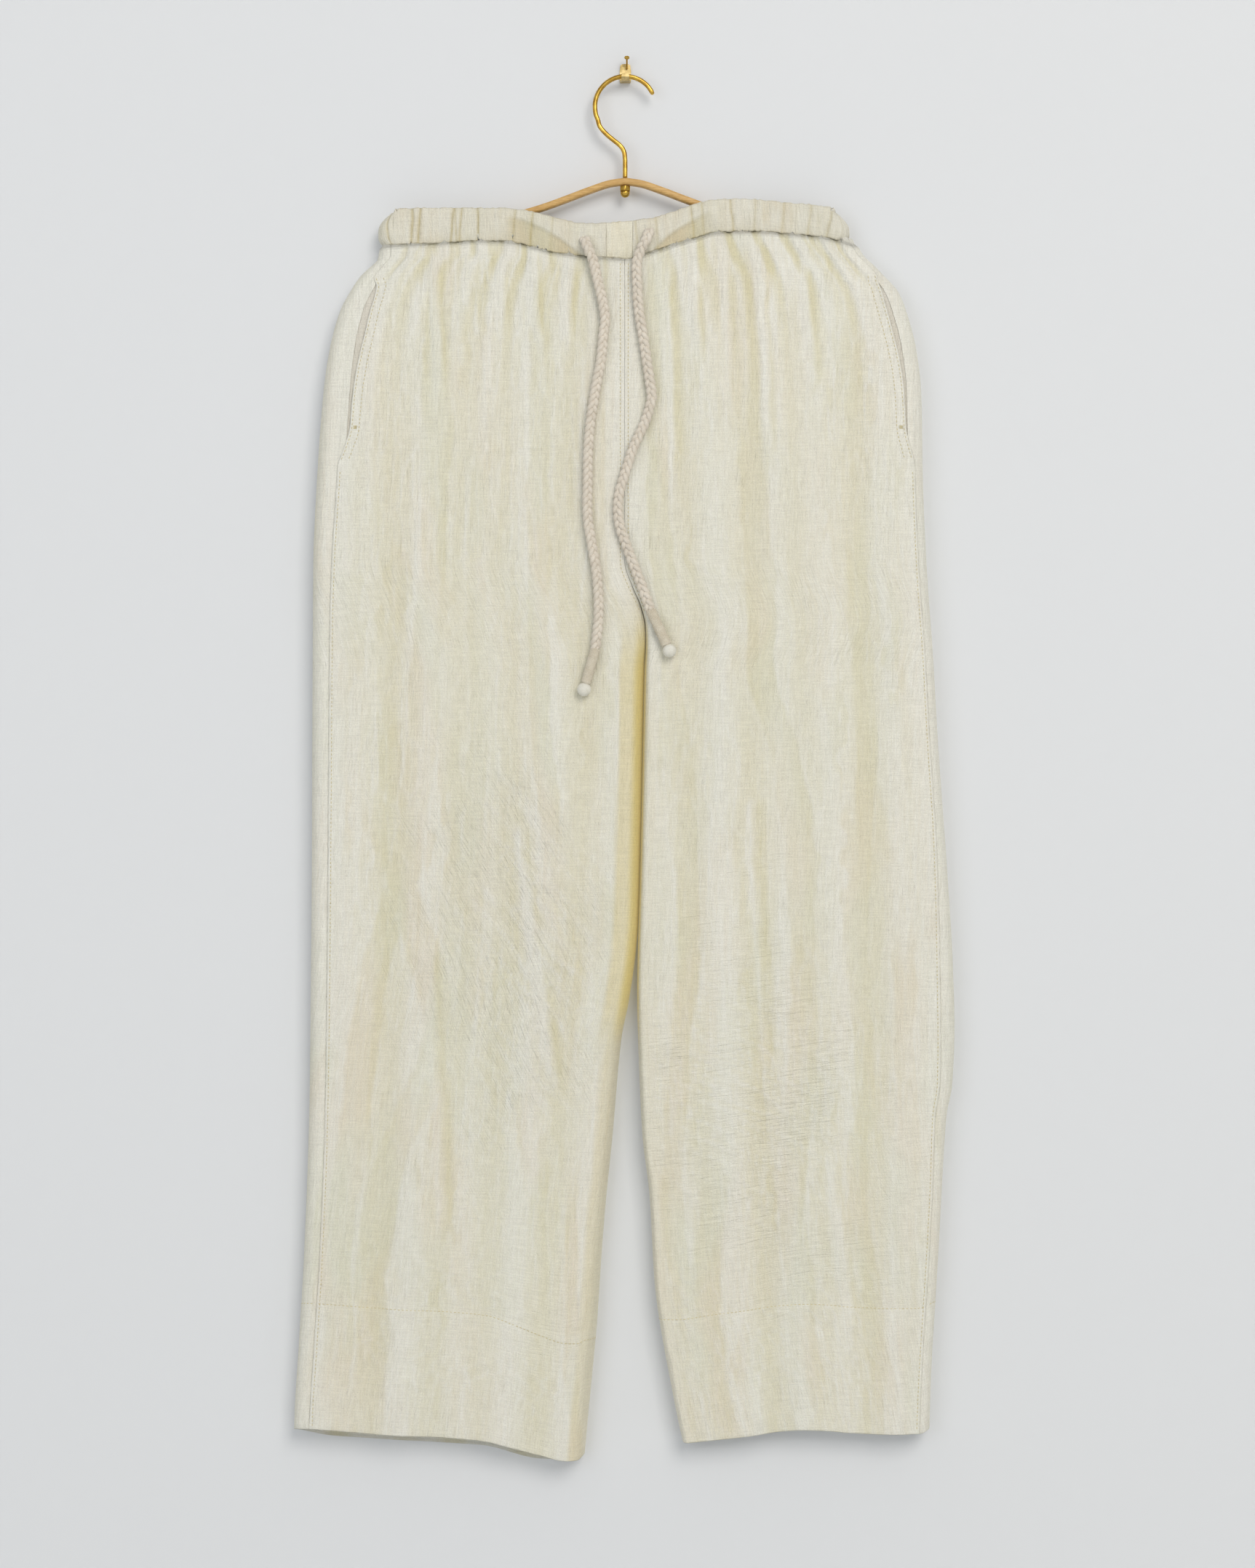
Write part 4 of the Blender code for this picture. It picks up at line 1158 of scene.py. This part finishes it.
@dataclass
class Waistband:
    """The gathered casing that goes all round, and the flat piece at its centre front."""

    folds: Folds
    stations: int = 900
    heights: int = 21
    tab: tuple[float, float] = (-15.2, 5.8)
    creases: tuple[tuple[float, float, float], ...] = (
        (-190.5, -3, 1.0), (-170.2, 0.9, 1.3), (-164.2, 2.4, 1.3), (-138, 3.1, 1.3), (-135.3, -1.5, 0.8),
        (-131.4, 2.1, 1.1), (-117.5, 0, 1.2), (-88.7, 2.5, 0.9), (-75, 2, 1.1), (-59, 1.5, 0.6),
        (9, -2.6, 0.8), (25, -2, 0.6), (53.8, -2.7, 0.9), (61.6, -2, 0.7), (84.8, -2.6, 1.0),
        (103, 1, 0.6), (126, 2, 0.6), (147, 3, 0.7), (163, 5, 0.8),
    )
    rolled_right: Table = Table((-104, 0.86), (-79, 0.74), (-58, 0.56), (-44, 0.3), (-33, 0.05))
    rolled_left: Table = Table((20, 0.05), (31, 0.3), (42, 0.48), (60, 0.64), (74, 0.8))

    def ring(self) -> tuple[np.ndarray, np.ndarray, np.ndarray]:
        """Stations round the band from the tab by the right end and the back to the tab again."""
        form = self.folds.form
        reach = 9.0
        right = form.band_right_end + reach
        left = form.band_left_end - reach
        turn = np.linspace(0, math.pi, 25)
        x = np.concatenate([
            np.linspace(self.tab[0] - 0.1, right, 60), right - reach * np.sin(turn[1:]),
            np.linspace(right, left, 80)[1:], left + reach * np.sin(turn[1:]),
            np.linspace(left, self.tab[1] + 0.1, 60)[1:],
        ])
        level = np.concatenate([
            np.full(60, -1.0), -np.cos(turn[1:]), np.full(79, 1.0), np.cos(turn[1:]), np.full(59, -1.0),
        ])
        depth = np.where(level < 0, -form.band_front * level, form.band_back * level)
        arc = np.concatenate([[0], np.cumsum(np.hypot(np.diff(x), np.diff(depth)))])
        at = np.linspace(0, arc[-1], self.stations)
        return np.interp(at, arc, x), np.interp(at, arc, level), at

    def rolled(self, x: np.ndarray, level: np.ndarray, height: float) -> np.ndarray:
        """How far a place lies in the hollow under the casing's rolled upper part, 0 to 1."""
        right = smooth((self.rolled_right(x) - height) / 0.16)
        right = right * smooth((x + 104) / 26) * smooth((-33 - x) / 5)
        left = smooth((self.rolled_left(x) - height) / 0.16)
        left = left * smooth((74 - x) / 20) * smooth((x - 20) / 5)
        return (right + left) * (level < -0.5)

    def crease(self, x: np.ndarray, level: np.ndarray, height: float) -> np.ndarray:
        """The sharp folded lines across the casing, with their own depth, and similar ones on its back."""
        total = np.zeros_like(x)
        for place, tilt, depth in self.creases:
            wave = 0.5 * float(self.folds.wander(place, height * 3))
            near = np.abs(x - place - tilt * (height - 0.5) - wave) / 0.85
            total = np.maximum(total, depth * np.exp(-near) * (level < -0.5))
            far = np.abs(x + place * 0.93 - 11 + tilt * (height - 0.5) - wave) / 0.75
            total = np.maximum(total, 0.9 * depth * np.exp(-far) * (level > 0.5))
        return total

    def gather(self, x: np.ndarray, level: np.ndarray, at: np.ndarray, height: float) -> np.ndarray:
        """How far the casing stands out at each station of one height."""
        wander = self.folds.wander
        crumple = self.folds.crumple
        pillow = 0.5 * wander(at / 14, height * 0.8 + 7.7) + 0.2 * wander(at / 5, height * 2.2 + 3)
        dense = np.where(level < 0, 0.3 + 0.7 * smooth((x - 45) / 40), 0.8)
        fine = 0.45 * dense * (crumple(at / 1.9, height * 1.1 + 5) + 0.5 * crumple.ridged(at / 4.2, height))
        lumps = np.maximum(crumple(at / 1.6, 4.4 + height * 5), -0.3)
        low = math.exp(-height / 0.07) * (0.35 + 0.9 * lumps)
        high = 0.4 * math.exp(-(1 - height) / 0.08) * crumple(at / 2.0, 9.1 + height * 5)
        step = 0.9 - 2.4 * self.rolled(x, level, height) * 0.8
        sunk = self.crease(x, level, height) * float(smooth(height / 0.16))
        ends = smooth(np.minimum(at, at[-1] - at) / 6)
        near_right = smooth((x + 110) / 20) * smooth((-25 - x) / 6)
        near_left = smooth((80 - x) / 15) * smooth((x - 14) / 6)
        zone = np.maximum(near_right, near_left)
        return (pillow + fine + low + high - 1.2 * sunk + step * zone * (level < -0.5)) * ends

    def grid(self, x: np.ndarray, level: np.ndarray, wave: Callable[[float], np.ndarray]) -> np.ndarray:
        """The casing's outer face, from its lower edge to its upper one, rolled in at both."""
        form = self.folds.form
        centre = (form.band_right_end + form.band_left_end) / 2
        end = smooth((np.abs(x - centre) - 172) / 15)
        drop = form.back_drop(x) * (level > 0)
        rows = []
        for height in np.linspace(0, 1, self.heights):
            bulge = 1 - abs(2 * height - 1) ** 3
            inward = 1.3 * (1 - bulge) - 0.3 * math.sin(math.pi * height)
            corner = 6.5 * max(height - 0.42, 0) ** 2 / 0.3364 * 1.5
            corner += 5.0 * max(0.3 - height, 0) ** 2 / 0.09
            lean = -np.sign(x - centre) * end * corner
            low = form.waist(x + lean)
            z = low + (form.band_top(x + lean) - low) * height - drop - end * max(height - 0.6, 0) * 6
            outward = wave(height) * (0.4 + 0.6 * bulge) - inward
            y = np.where(level < 0, -level * form.band_front, level * form.band_back) + level * outward
            ragged = 0.5 * self.folds.crumple(x / 2.4, level * 3 + 6) * (abs(2 * height - 1) ** 6)
            out_x = x + lean + np.sign(x - centre) * end * outward * 0.5
            rows.append(np.stack([out_x, y, z + ragged], axis=-1))
        return np.array(rows)

    def piece(
        self, name: str, laid: np.ndarray, at: np.ndarray, x: np.ndarray, level: np.ndarray
    ) -> bpy.types.Object:
        """A casing piece from its outer grid, with its marks."""
        heights = np.linspace(0, 1, self.heights)
        across, up = np.meshgrid(at * MM + 8, heights * 0.03)
        tone, painted_shade = [], []
        for height in heights:
            hollow = self.rolled(x, level, height)
            # Painted shade: tan in the hollow under the casing's rolled upper part.
            tone.append(np.clip(0.25 + 0.2 * self.folds.patches(x / 7, height * 2) + 0.8 * hollow, 0, 1))
            lumps = 0.5 + 0.5 * self.folds.crumple(at / 1.6, 4.4)
            # Painted shade: darker along the gathered lower edge and in the creases.
            seam = 0.45 * math.exp(-height / 0.05) * lumps
            painted_shade.append(np.clip(0.12 * hollow + 0.75 * self.crease(x, level, height) + seam, 0, 0.9))
        fields = {"tone": np.array(tone), "painted_shade": np.array(painted_shade), "painted_glow": np.zeros((self.heights, len(x)))}
        return cloth_sheet(name, laid, np.stack([across, up], axis=-1), fields, (0, -1, 0))

    def build(self, silk: bpy.types.Material, centre: bpy.types.Material) -> list[bpy.types.Object]:
        """The casing all round and the flat centre piece."""
        x, level, at = self.ring()
        laid = self.grid(x, level, lambda height: self.gather(x, level, at, height))
        casing = self.piece("waist_casing", laid, at, x, level)
        if casing.data.polygons[self.stations * (self.heights // 2) + 90].normal.y > 0:
            casing.data.flip_normals()
        tab_x = np.linspace(self.tab[0], self.tab[1], 30)
        flat = np.full(30, -1.0)

        def pucker(height: float) -> np.ndarray:
            """Slight dents beside the two seams."""
            inside = smooth(np.minimum(tab_x - self.tab[0], self.tab[1] - tab_x) / 2.5)
            return 0.7 * inside + 0.25 * self.folds.wander(tab_x / 4, height * 5) * inside - 0.2

        tab = self.piece("casing_centre", self.grid(tab_x, flat, pucker), tab_x, tab_x, flat)
        for piece in (casing, tab):
            thick = piece.modifiers.new("cloth", "SOLIDIFY")
            thick.thickness = 2.0 * MM
            thick.offset = -1
        dress(casing, silk, Slot.SILK, "waistband")
        dress(tab, centre, Slot.SILK, "waistband_centre")
        return [casing, tab]


@dataclass
class Drawstring:
    """One free end of the drawstring: a three-strand plait, thread wound round it and a ball."""

    folds: Folds
    side: Side
    exit: tuple[float, float]
    route: tuple[tuple[float, float], ...]
    wrap_from: tuple[float, float]
    ball_at: tuple[float, float]
    radius: float = 4.0
    ball_radius: float = 5.5
    strand: float = 2.05
    period: float = 17.5

    def lie(self, x: float, z: float, stand: float) -> np.ndarray:
        """Where the cord's centre lies in front of the cloth."""
        spots = [self.folds.front_y(x + across, z + up) for across in (-4, 0, 4) for up in (-6, 0, 6)]
        return np.array([x, min(spots) - stand, z])

    def centreline(self) -> tuple[np.ndarray, np.ndarray, np.ndarray]:
        """The plait's path, where the winding starts, and the ball's centre."""
        exit_x, exit_z = self.exit
        front = self.folds.form.band_front
        places = [np.array([exit_x, front - 4.5, exit_z]), np.array([exit_x, front - 8.4, exit_z - 2.8])]
        places += [self.lie(x, z, self.radius + 0.6) for x, z in self.route]
        places.append(self.lie(*self.wrap_from, self.radius + 0.6))
        inside = [[exit_x, front + 1.0, exit_z], [exit_x, front - 1.5, exit_z]]
        line = np.vstack([inside, smooth_route(places, 10.0)])
        return smooth_route(line, 0.9), line[-1], self.lie(*self.ball_at, self.ball_radius + 0.6)

    def plait(self, path: np.ndarray) -> bpy.types.Object:
        """Three strands that cross over and under, which shows as a chevron."""
        along = np.concatenate([[0], np.cumsum(np.linalg.norm(np.diff(path, axis=0), axis=1))])
        _, out, across = frames_along(path)
        sheet = bmesh.new()
        for strand in range(3):
            turn = 2 * math.pi * (along / self.period + strand / 3)
            offset = across * (2.35 * np.sin(turn))[:, None] + out * (1.25 * np.sin(2 * turn))[:, None]
            sweep(sheet, path + offset, np.full(len(path), self.strand), 8)
        close_ends(sheet)
        return finish_mesh("plaited_cord_" + self.side.name.lower(), sheet)

    def winding(self, start: np.ndarray, ball: np.ndarray) -> bpy.types.Object:
        """Thread wound tight round the cord's end, one turn beside the next."""
        along = (ball - start) / np.linalg.norm(ball - start)
        first = start - along * 0.6
        reach = float(np.linalg.norm(ball - first)) - self.ball_radius + 0.9
        at = np.arange(0, reach, 0.15)
        ends = smooth(np.minimum(at, reach - at) / 1.2)
        ripple = 0.17 * np.sin(2 * math.pi * at / 0.95) + 0.12 * np.sin(at / 2.3)
        path = first + along * at[:, None]
        sheet = bmesh.new()
        sweep(sheet, path, 3.1 + 1.05 * ends + ripple, 18)
        close_ends(sheet)
        return finish_mesh("wound_thread_" + self.side.name.lower(), sheet)

    def ball(self, centre: np.ndarray) -> bpy.types.Object:
        """The small ball at the tip, covered in wound thread."""
        sheet = bmesh.new()
        made = bmesh.ops.create_icosphere(sheet, subdivisions=4, radius=self.ball_radius * MM)["verts"]
        for vert in made:
            way = vert.co.normalized()
            swell = 1 + 0.022 * math.sin(26 * way.z + 5 * math.atan2(way.y, way.x)) - 0.02 * way.z**2
            vert.co = vert.co * swell + Vector(centre * MM)
        return finish_mesh("cord_ball_" + self.side.name.lower(), sheet)

    def build(
        self, cord: bpy.types.Material, thread: bpy.types.Material, ball: bpy.types.Material
    ) -> list[bpy.types.Object]:
        """The cord with its winding and ball."""
        path, end, centre = self.centreline()
        word = self.side.name.lower()
        plait = dress(self.plait(path), cord, Slot.CORD, "drawstring_" + word)
        winding = dress(self.winding(end, centre), thread, Slot.THREAD, "drawstring_wrap_" + word)
        tip = dress(self.ball(centre), ball, Slot.BALL, "drawstring_bead_" + word)
        shown = path[2:]
        length = float(np.linalg.norm(np.diff(shown, axis=0), axis=1).sum())
        [tuple(float(v) for v in spot * MM) for spot in shown[::8]]
        return [plait, winding, tip]


def close_ends(sheet: bmesh.types.BMesh) -> None:
    """Closes every open end of the tubes in a mesh and turns all faces outwards."""
    bmesh.ops.holes_fill(sheet, edges=[edge for edge in sheet.edges if edge.is_boundary], sides=0)
    bmesh.ops.recalc_face_normals(sheet, faces=list(sheet.faces))


@dataclass
class Hanger:
    """The brass hook and nut, and the bent lath."""

    wire: float = 1.9

    def hook(self) -> bpy.types.Object:
        """The question-mark hook, with a rounded tip."""
        turn = np.radians(np.linspace(24, 205, 30))
        crown = np.stack([24.4 * np.cos(turn), np.zeros(30), -22.5 + 24.4 * np.sin(turn)], axis=-1)
        neck = [
            (-20.2, 0, -38.6), (-15.2, 0, -44.4), (-9.3, 0, -49.4), (-4.2, 0, -53.6), (-1.2, 0, -58.2),
            (-0.3, 0, -64), (-0.2, 0, -72), (-0.2, 0, -79.4),
        ]
        path = smooth_route(np.vstack([crown[::3], crown[-1:], neck]), 1.0)
        radii = np.full(len(path), self.wire)
        radii[:4] = self.wire * np.array([0.55, 0.85, 0.97, 1.0])
        sheet = bmesh.new()
        sweep(sheet, path, radii, 20)
        close_ends(sheet)
        return finish_mesh("brass_hook", sheet)

    def nut(self) -> bpy.types.Object:
        """A six-sided collar over the lath and a domed nut under it."""
        sheet = bmesh.new()
        profile = [(0.0, -95.4), (1.7, -95.0), (3.0, -93.9), (3.7, -92.2), (3.8, -90.4), (3.2, -90.2)]
        spots = [sheet.verts.new(((radius - 0.2) * MM, 0, height * MM)) for radius, height in profile]
        spots[0].co.x = -0.2 * MM
        edges = [sheet.edges.new(pair) for pair in zip(spots, spots[1:])]
        bmesh.ops.spin(
            sheet, geom=spots + edges, cent=(-0.2 * MM, 0, 0), axis=(0, 0, 1), angle=2 * math.pi, steps=28,
            use_merge=True,
        )
        bmesh.ops.remove_doubles(sheet, verts=list(sheet.verts), dist=1e-6)
        collar = bmesh.ops.create_cone(
            sheet, cap_ends=True, segments=6, radius1=4.5 * MM, radius2=4.5 * MM, depth=4.0 * MM,
            matrix=Matrix.Translation((-0.2 * MM, 0, -88.2 * MM)),
        )["verts"]
        # A dict drops the repeated edges and keeps their order, which a set doesn't.
        rim = list(dict.fromkeys(edge for vert in collar for edge in vert.link_edges))
        bmesh.ops.bevel(
            sheet, geom=rim, affect="EDGES", offset=0.35 * MM, segments=2, profile=0.5, material=-1
        )
        close_ends(sheet)
        return finish_mesh("brass_nut", sheet)

    def lath(self) -> bpy.types.Object:
        """One bent lath with rounded edges that carries the waistband inside its two ends."""
        fall = Table(
            (0, -82.6), (12, -84.4), (28, -89.6), (46, -96.4), (63, -102.6), (80, -107.8), (110, -114.6),
            (140, -119.4), (165, -121.6), (195, -122.6),
        )
        x = np.concatenate([
            np.linspace(-193.1, -187.5, 6), np.linspace(-186, 168, 150), np.linspace(169, 174.2, 6),
        ])
        narrow = smooth(np.minimum(x + 195.6, 176.7 - x) / 9) * 0.62 + 0.38
        turn = np.linspace(0, 2 * math.pi, 25)
        height = fall(np.abs(x))
        slope = np.gradient(height, x)
        lean = np.arctan(slope)
        deep = np.sign(np.cos(turn)) * np.abs(np.cos(turn)) ** 0.75 * 4.2
        thick = np.sign(np.sin(turn)) * np.abs(np.sin(turn)) ** 0.75 * 2.9
        laid = np.stack([
            x[:, None] - np.sin(lean)[:, None] * thick[None, :] * narrow[:, None],
            -1.0 + deep[None, :] * narrow[:, None],
            height[:, None] + np.cos(lean)[:, None] * thick[None, :] * narrow[:, None],
        ], axis=-1)
        sheet = bmesh.new()
        lay_grid(sheet, laid)
        bmesh.ops.remove_doubles(sheet, verts=list(sheet.verts), dist=1e-6)
        close_ends(sheet)
        return finish_mesh("bent_lath", sheet)

    def build(self, brass: bpy.types.Material, wood: bpy.types.Material) -> list[bpy.types.Object]:
        """The hanger's own three pieces."""
        return [
            dress(self.hook(), brass, Slot.BRASS, "hanger_hook"),
            dress(self.nut(), brass, Slot.BRASS, "hanger_nut"),
            dress(self.lath(), wood, Slot.WOOD, "hanger_arm"),
        ]


@dataclass
class Stitching:
    """Rows of single stitches that lie on the cloth, gathered into one mesh."""

    folds: Folds
    pitch: float = 3.2
    hem_line: float = -985.0
    sheet: bmesh.types.BMesh = field(default_factory=bmesh.new)

    def row(self, spots: np.ndarray, normals: np.ndarray) -> None:
        """Lays stitches along a line of points, each with the direction that the cloth faces."""
        arc = np.concatenate([[0], np.cumsum(np.linalg.norm(np.diff(spots, axis=0), axis=1))])
        for at in np.arange(self.pitch / 2, arc[-1], self.pitch):
            middle = np.array([np.interp(at, arc, spots[:, k]) for k in range(3)])
            ahead = np.array([np.interp(at + 1, arc, spots[:, k]) for k in range(3)])
            back = np.array([np.interp(at - 1, arc, spots[:, k]) for k in range(3)])
            out = np.array([np.interp(at, arc, normals[:, k]) for k in range(3)])
            self.place(middle, ahead - back, out)

    def place(
        self, middle: np.ndarray, along: np.ndarray, out: np.ndarray, length: float = 2.3,
        thick: float = 0.42,
    ) -> None:
        """Adds one stitch, half sunk in the cloth."""
        forward = Vector(along).normalized()
        up = Vector(out).normalized()
        cross = up.cross(forward).normalized()
        up = forward.cross(cross)
        turn = Matrix((forward, cross, up)).transposed().to_4x4()
        size = Matrix.Diagonal((length, thick * 1.6, thick * 1.3, 1))
        spot = Matrix.Translation(Vector((middle + np.array(up) * 0.12) * MM))
        bmesh.ops.create_icosphere(self.sheet, subdivisions=1, radius=0.5 * MM, matrix=spot @ turn @ size)

    def line(self, side: Side, q_of: Callable[[float], float], heights: np.ndarray) -> None:
        """A row down the cloth, at a place across it that is given for each height."""
        spots, normals = [], []
        for z in heights:
            q = np.array([q_of(float(z))])
            spots.append(self.folds.points(side, q, float(z))[0])
            normals.append(self.folds.normals(side, q, float(z))[0])
        self.row(np.array(spots), np.array(normals))

    def across(self, side: Side, q: np.ndarray, z_of: Callable[[np.ndarray], np.ndarray]) -> None:
        """A row round the leg, at a height that is given for each place."""
        spots, normals = [], []
        for place in q:
            here = self.folds.points(side, np.array([place]), self.hem_line)[0]
            z = float(z_of(np.array(here[0])))
            spots.append(self.folds.points(side, np.array([place]), z)[0])
            normals.append(self.folds.normals(side, np.array([place]), z)[0])
        self.row(np.array(spots), np.array(normals))

    def ruffle(self) -> None:
        """The pale puckered edge where the casing is sewn to the panels, all round."""
        form = self.folds.form
        x, level, at = Waistband(self.folds).ring()
        centre = (form.band_right_end + form.band_left_end) / 2
        for spot in np.arange(3.0, at[-1] - 2, 2.3):
            here = float(np.interp(spot, at, x))
            turn = float(np.interp(spot, at, level))
            lump = float(self.folds.crumple(spot / 1.6, 4.4))
            if lump < -0.55 or abs(here - centre) > 177 or abs(turn) < 0.9:
                continue
            depth = -form.band_front - 0.4 if turn < 0 else form.band_back + 0.4
            drop = float(form.back_drop(here)) if turn > 0 else 0.0
            z = float(form.waist(here)) - drop + 0.2 + 0.5 * lump
            slope = float(form.waist(here + 1) - form.waist(here - 1)) / 2
            along = np.array([1.0, 0, slope + 0.5 * float(self.folds.wander(spot, 2.2))])
            middle = np.array([here, depth, z])
            self.place(middle, along, np.array([0, turn, 0.1]), 2.5 + 1.2 * lump, 0.95)

    def build(self, thread: bpy.types.Material) -> bpy.types.Object:
        """Sews every row and makes the one mesh."""
        form = self.folds.form
        self.ruffle()
        for side in Side:

            def seam(z: float, side: Side = side) -> float:
                """The arc length of the front at a height."""
                return form.section(side, z)[3]

            def rest(z: float, side: Side = side) -> float:
                """The arc length of the back at a height."""
                _, _, arc, at = form.section(side, z)
                return arc[-1] - at

            off = 3.4 if side is Side.RIGHT else 2.6
            self.line(side, lambda z, off=off: off / seam(z), np.linspace(-136, -428, 60))
            self.line(side, lambda z: 2 - 3.2 / rest(z), np.linspace(-140, -440, 50))
            self.line(side, lambda z: 1 - 2.4 / seam(z), np.linspace(-316, -1083, 140))
            for inward in (1.8, 7.5):

                def beside(z: float, inward: float = inward, side: Side = side) -> float:
                    """The place beside the pocket's edge at a height."""
                    return 1 - (form.mouth(side, z) + inward) / seam(z)

                self.line(side, beside, np.linspace(-158, -306, 60))
            deeper = 7.0 if side is Side.RIGHT else 1.5

            def hem(x: np.ndarray, side: Side = side, deeper: float = deeper) -> np.ndarray:
                """The nominal height of the hem's stitching."""
                sag = smooth((x + 110) / 70) if side is Side.RIGHT else 1 - smooth((x - 35) / 50)
                return self.hem_line - deeper * sag

            self.across(side, np.linspace(0.004, 0.995, 90), hem)
            self.across(side, np.linspace(1.01, 1.99, 60), lambda x: np.array(self.hem_line))
            for step in range(4):
                z = -280.0 - step * 0.7
                q = np.array([1 - (form.mouth(side, z) + 4.2) / seam(z)])
                normal = self.folds.normals(side, q, z)[0]
                self.place(self.folds.points(side, q, z)[0], np.array([1.0, 0, 0]), normal, 4.0)
        made = finish_mesh("seam_stitches", self.sheet)
        return dress(made, thread, Slot.THREAD)


@dataclass
class Studio:
    """The camera, the pale wall and floor, and soft light, most of it from above and to the right."""

    distance: float = 2.5
    centre: tuple[float, float] = (0.0017, -0.565)
    frame_height: float = 1.25

    def camera(self) -> None:
        """The camera looks level at the middle of the trousers, at right angles to the wall."""
        data = bpy.data.cameras.new("level_view")
        data.lens = 36.0 * (self.distance - 0.012) / self.frame_height
        made = bpy.data.objects.new("level_view", data)
        made.location = (self.centre[0], -self.distance, self.centre[1])
        made.rotation_euler = (math.pi / 2, 0, 0)
        bpy.context.scene.collection.objects.link(made)
        bpy.context.scene.camera = made

    def plane(
        self, name: str, size: tuple[float, float], middle: tuple[float, float, float], upright: bool
    ) -> bpy.types.Object:
        """A flat stage piece that faces -Y or up."""
        sheet = bmesh.new()
        turn = Matrix.Rotation(math.pi / 2, 4, "X") if upright else Matrix.Identity(4)
        scale = Matrix.Diagonal((size[0], size[1], 1, 1))
        bmesh.ops.create_grid(
            sheet, x_segments=1, y_segments=1, size=0.5, matrix=Matrix.Translation(middle) @ turn @ scale
        )
        return finish_mesh(name, sheet, shade=False)

    def light(
        self, name: str, place: tuple[float, float, float], aim: tuple[float, float, float], size: float,
        power: float, tint: str,
    ) -> None:
        """A square soft light that looks at a point."""
        data = bpy.data.lights.new(name, "AREA")
        data.size = size
        data.energy = power
        data.color = linear(tint)[:3]
        made = bpy.data.objects.new(name, data)
        made.location = place
        made.rotation_euler = (Vector(aim) - Vector(place)).to_track_quat("-Z", "Y").to_euler()
        bpy.context.scene.collection.objects.link(made)

    def build(self) -> None:
        """Sets the stage and the lights."""
        wall = self.plane("wall", (9, 7), (0, 0.0127, 0.2), True)
        wall.data.materials.append(WallFinish("painted_plaster_wall").build())
        floor = self.plane("floor", (9, 8), (0, 0, -1.32), False)
        floor.data.materials.append(WallFinish("pale_floor", "#d5d6d4", False).build())
        self.light("key", (1.6, -4.5, 1.9), (0, 0, -0.5), 2.6, 127, "#fffaf3")
        self.light("fill", (-2.4, -4.2, -0.2), (0, 0, -0.6), 2.6, 38, "#f4f7ff")
        self.light("behind", (0.4, 2.2, 0.4), (0, 0, -0.6), 2.0, 26, "#fbfbff")
        world = bpy.data.worlds.new("soft_room")
        world.use_nodes = True
        sky = world.node_tree.nodes["Background"]
        fill(world.node_tree, sky, {"Color": linear("#f3f5f7"), "Strength": 0.52})
        bpy.context.scene.world = world
        bpy.context.scene.view_settings.view_transform = "Standard"


def drawstrings(folds: Folds) -> list[Drawstring]:
    """Both free ends, each with the places that it passes on the front of the trousers."""
    return [
        Drawstring(
            folds, Side.RIGHT, (-32.2, -131.5),
            (
                (-27, -144), (-23.5, -157.7), (-20.1, -172.2), (-17.2, -186.1), (-16, -196),
                (-17.2, -206), (-19.5, -229.6), (-22.4, -244), (-27, -272.5), (-29.3, -295.7),
                (-29.9, -324), (-29.9, -353), (-26.4, -376), (-22.4, -401), (-21.2, -430),
            ),
            (-23.8, -458), (-32.8, -489.9),
        ),
        Drawstring(
            folds, Side.LEFT, (18.8, -125.2),
            (
                (11.2, -142), (9, -152.5), (9.5, -167), (10.1, -182), (11.9, -196), (14.1, -209.3),
                (17.2, -229.6), (20, -248.7), (21.1, -257), (15.9, -276.5), (7.2, -295.7),
                (0.8, -314.8), (-5.5, -338), (-5, -357), (-0.3, -372.2), (5.4, -387.8), (12, -405),
            ),
            (20, -427), (35, -459.1),
        ),
    ]


def main() -> None:
    """Builds the camera and the cords first, then the cloth, its stitches and the hanger."""
    logging.basicConfig(level=logging.INFO, format="%(relativeCreated)d ms: %(message)s")
    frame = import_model()
    studio = Studio()
    studio.camera()
    folds = Folds(TrouserForm())

    silk = SilkFinish("crinkled_silk_satin").build()
    facing = SilkFinish("pocket_facing_silk", "#d8d3c6", "#d5d1c6", "#cfcbba", "#d0c6b3").build()
    # The deep colours of the casing and its centre piece are painted shade for their creases and hollows.
    casing = SilkFinish("waist_casing_silk", "#dedaca", "#dbd9cd", "#d0cab0", "#d1c5a8", "#b9ac7e").build()
    centre = SilkFinish("casing_centre_silk", "#e4dfcb", "#e0ddcd", "#d9d4b9", "#dbcfae", "#c4b78a").build()
    cord = CordFinish("plaited_cotton_yarn").build()
    thread = CordFinish("wound_cotton_thread", light="#dad3c2", dark="#c3b8a2", fibre=1800.0).build()
    ball = CordFinish("thread_covered_ball", light="#e6e4da", dark="#d5d2c4", fibre=900.0).build()
    sewing = CordFinish("cream_sewing_thread", light="#d9cfa9", dark="#c9bc8d", fibre=2200.0).build()
    brass = BrassFinish("lacquered_brass_wire").build()
    plate = BrassFinish("satin_brass_plate", bright="#d6c08a", dull="#a58f58", roughness=0.38).build()
    wood = WoodFinish("lacquered_beech_lath").build()

    for string in drawstrings(folds):
        for piece in string.build(cord, thread, ball):
            LOG.info("made %s", piece.name)
    for piece in Trousers(folds).build(silk, facing):
        LOG.info("made %s", piece.name)
    for piece in Waistband(folds).build(casing, centre):
        LOG.info("made %s", piece.name)
    for piece in Hanger().build(brass, wood):
        LOG.info("made %s", piece.name)
    for node in ("wall_hook", "wall_nail"):
        held = frame["nodes"][node]
        held.data.materials.clear()
        held.data.materials.append(plate if node == "wall_hook" else brass)
    LOG.info("made %s", Stitching(folds).build(sewing).name)
    studio.build()

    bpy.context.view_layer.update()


if __name__ == "__main__":
    main()
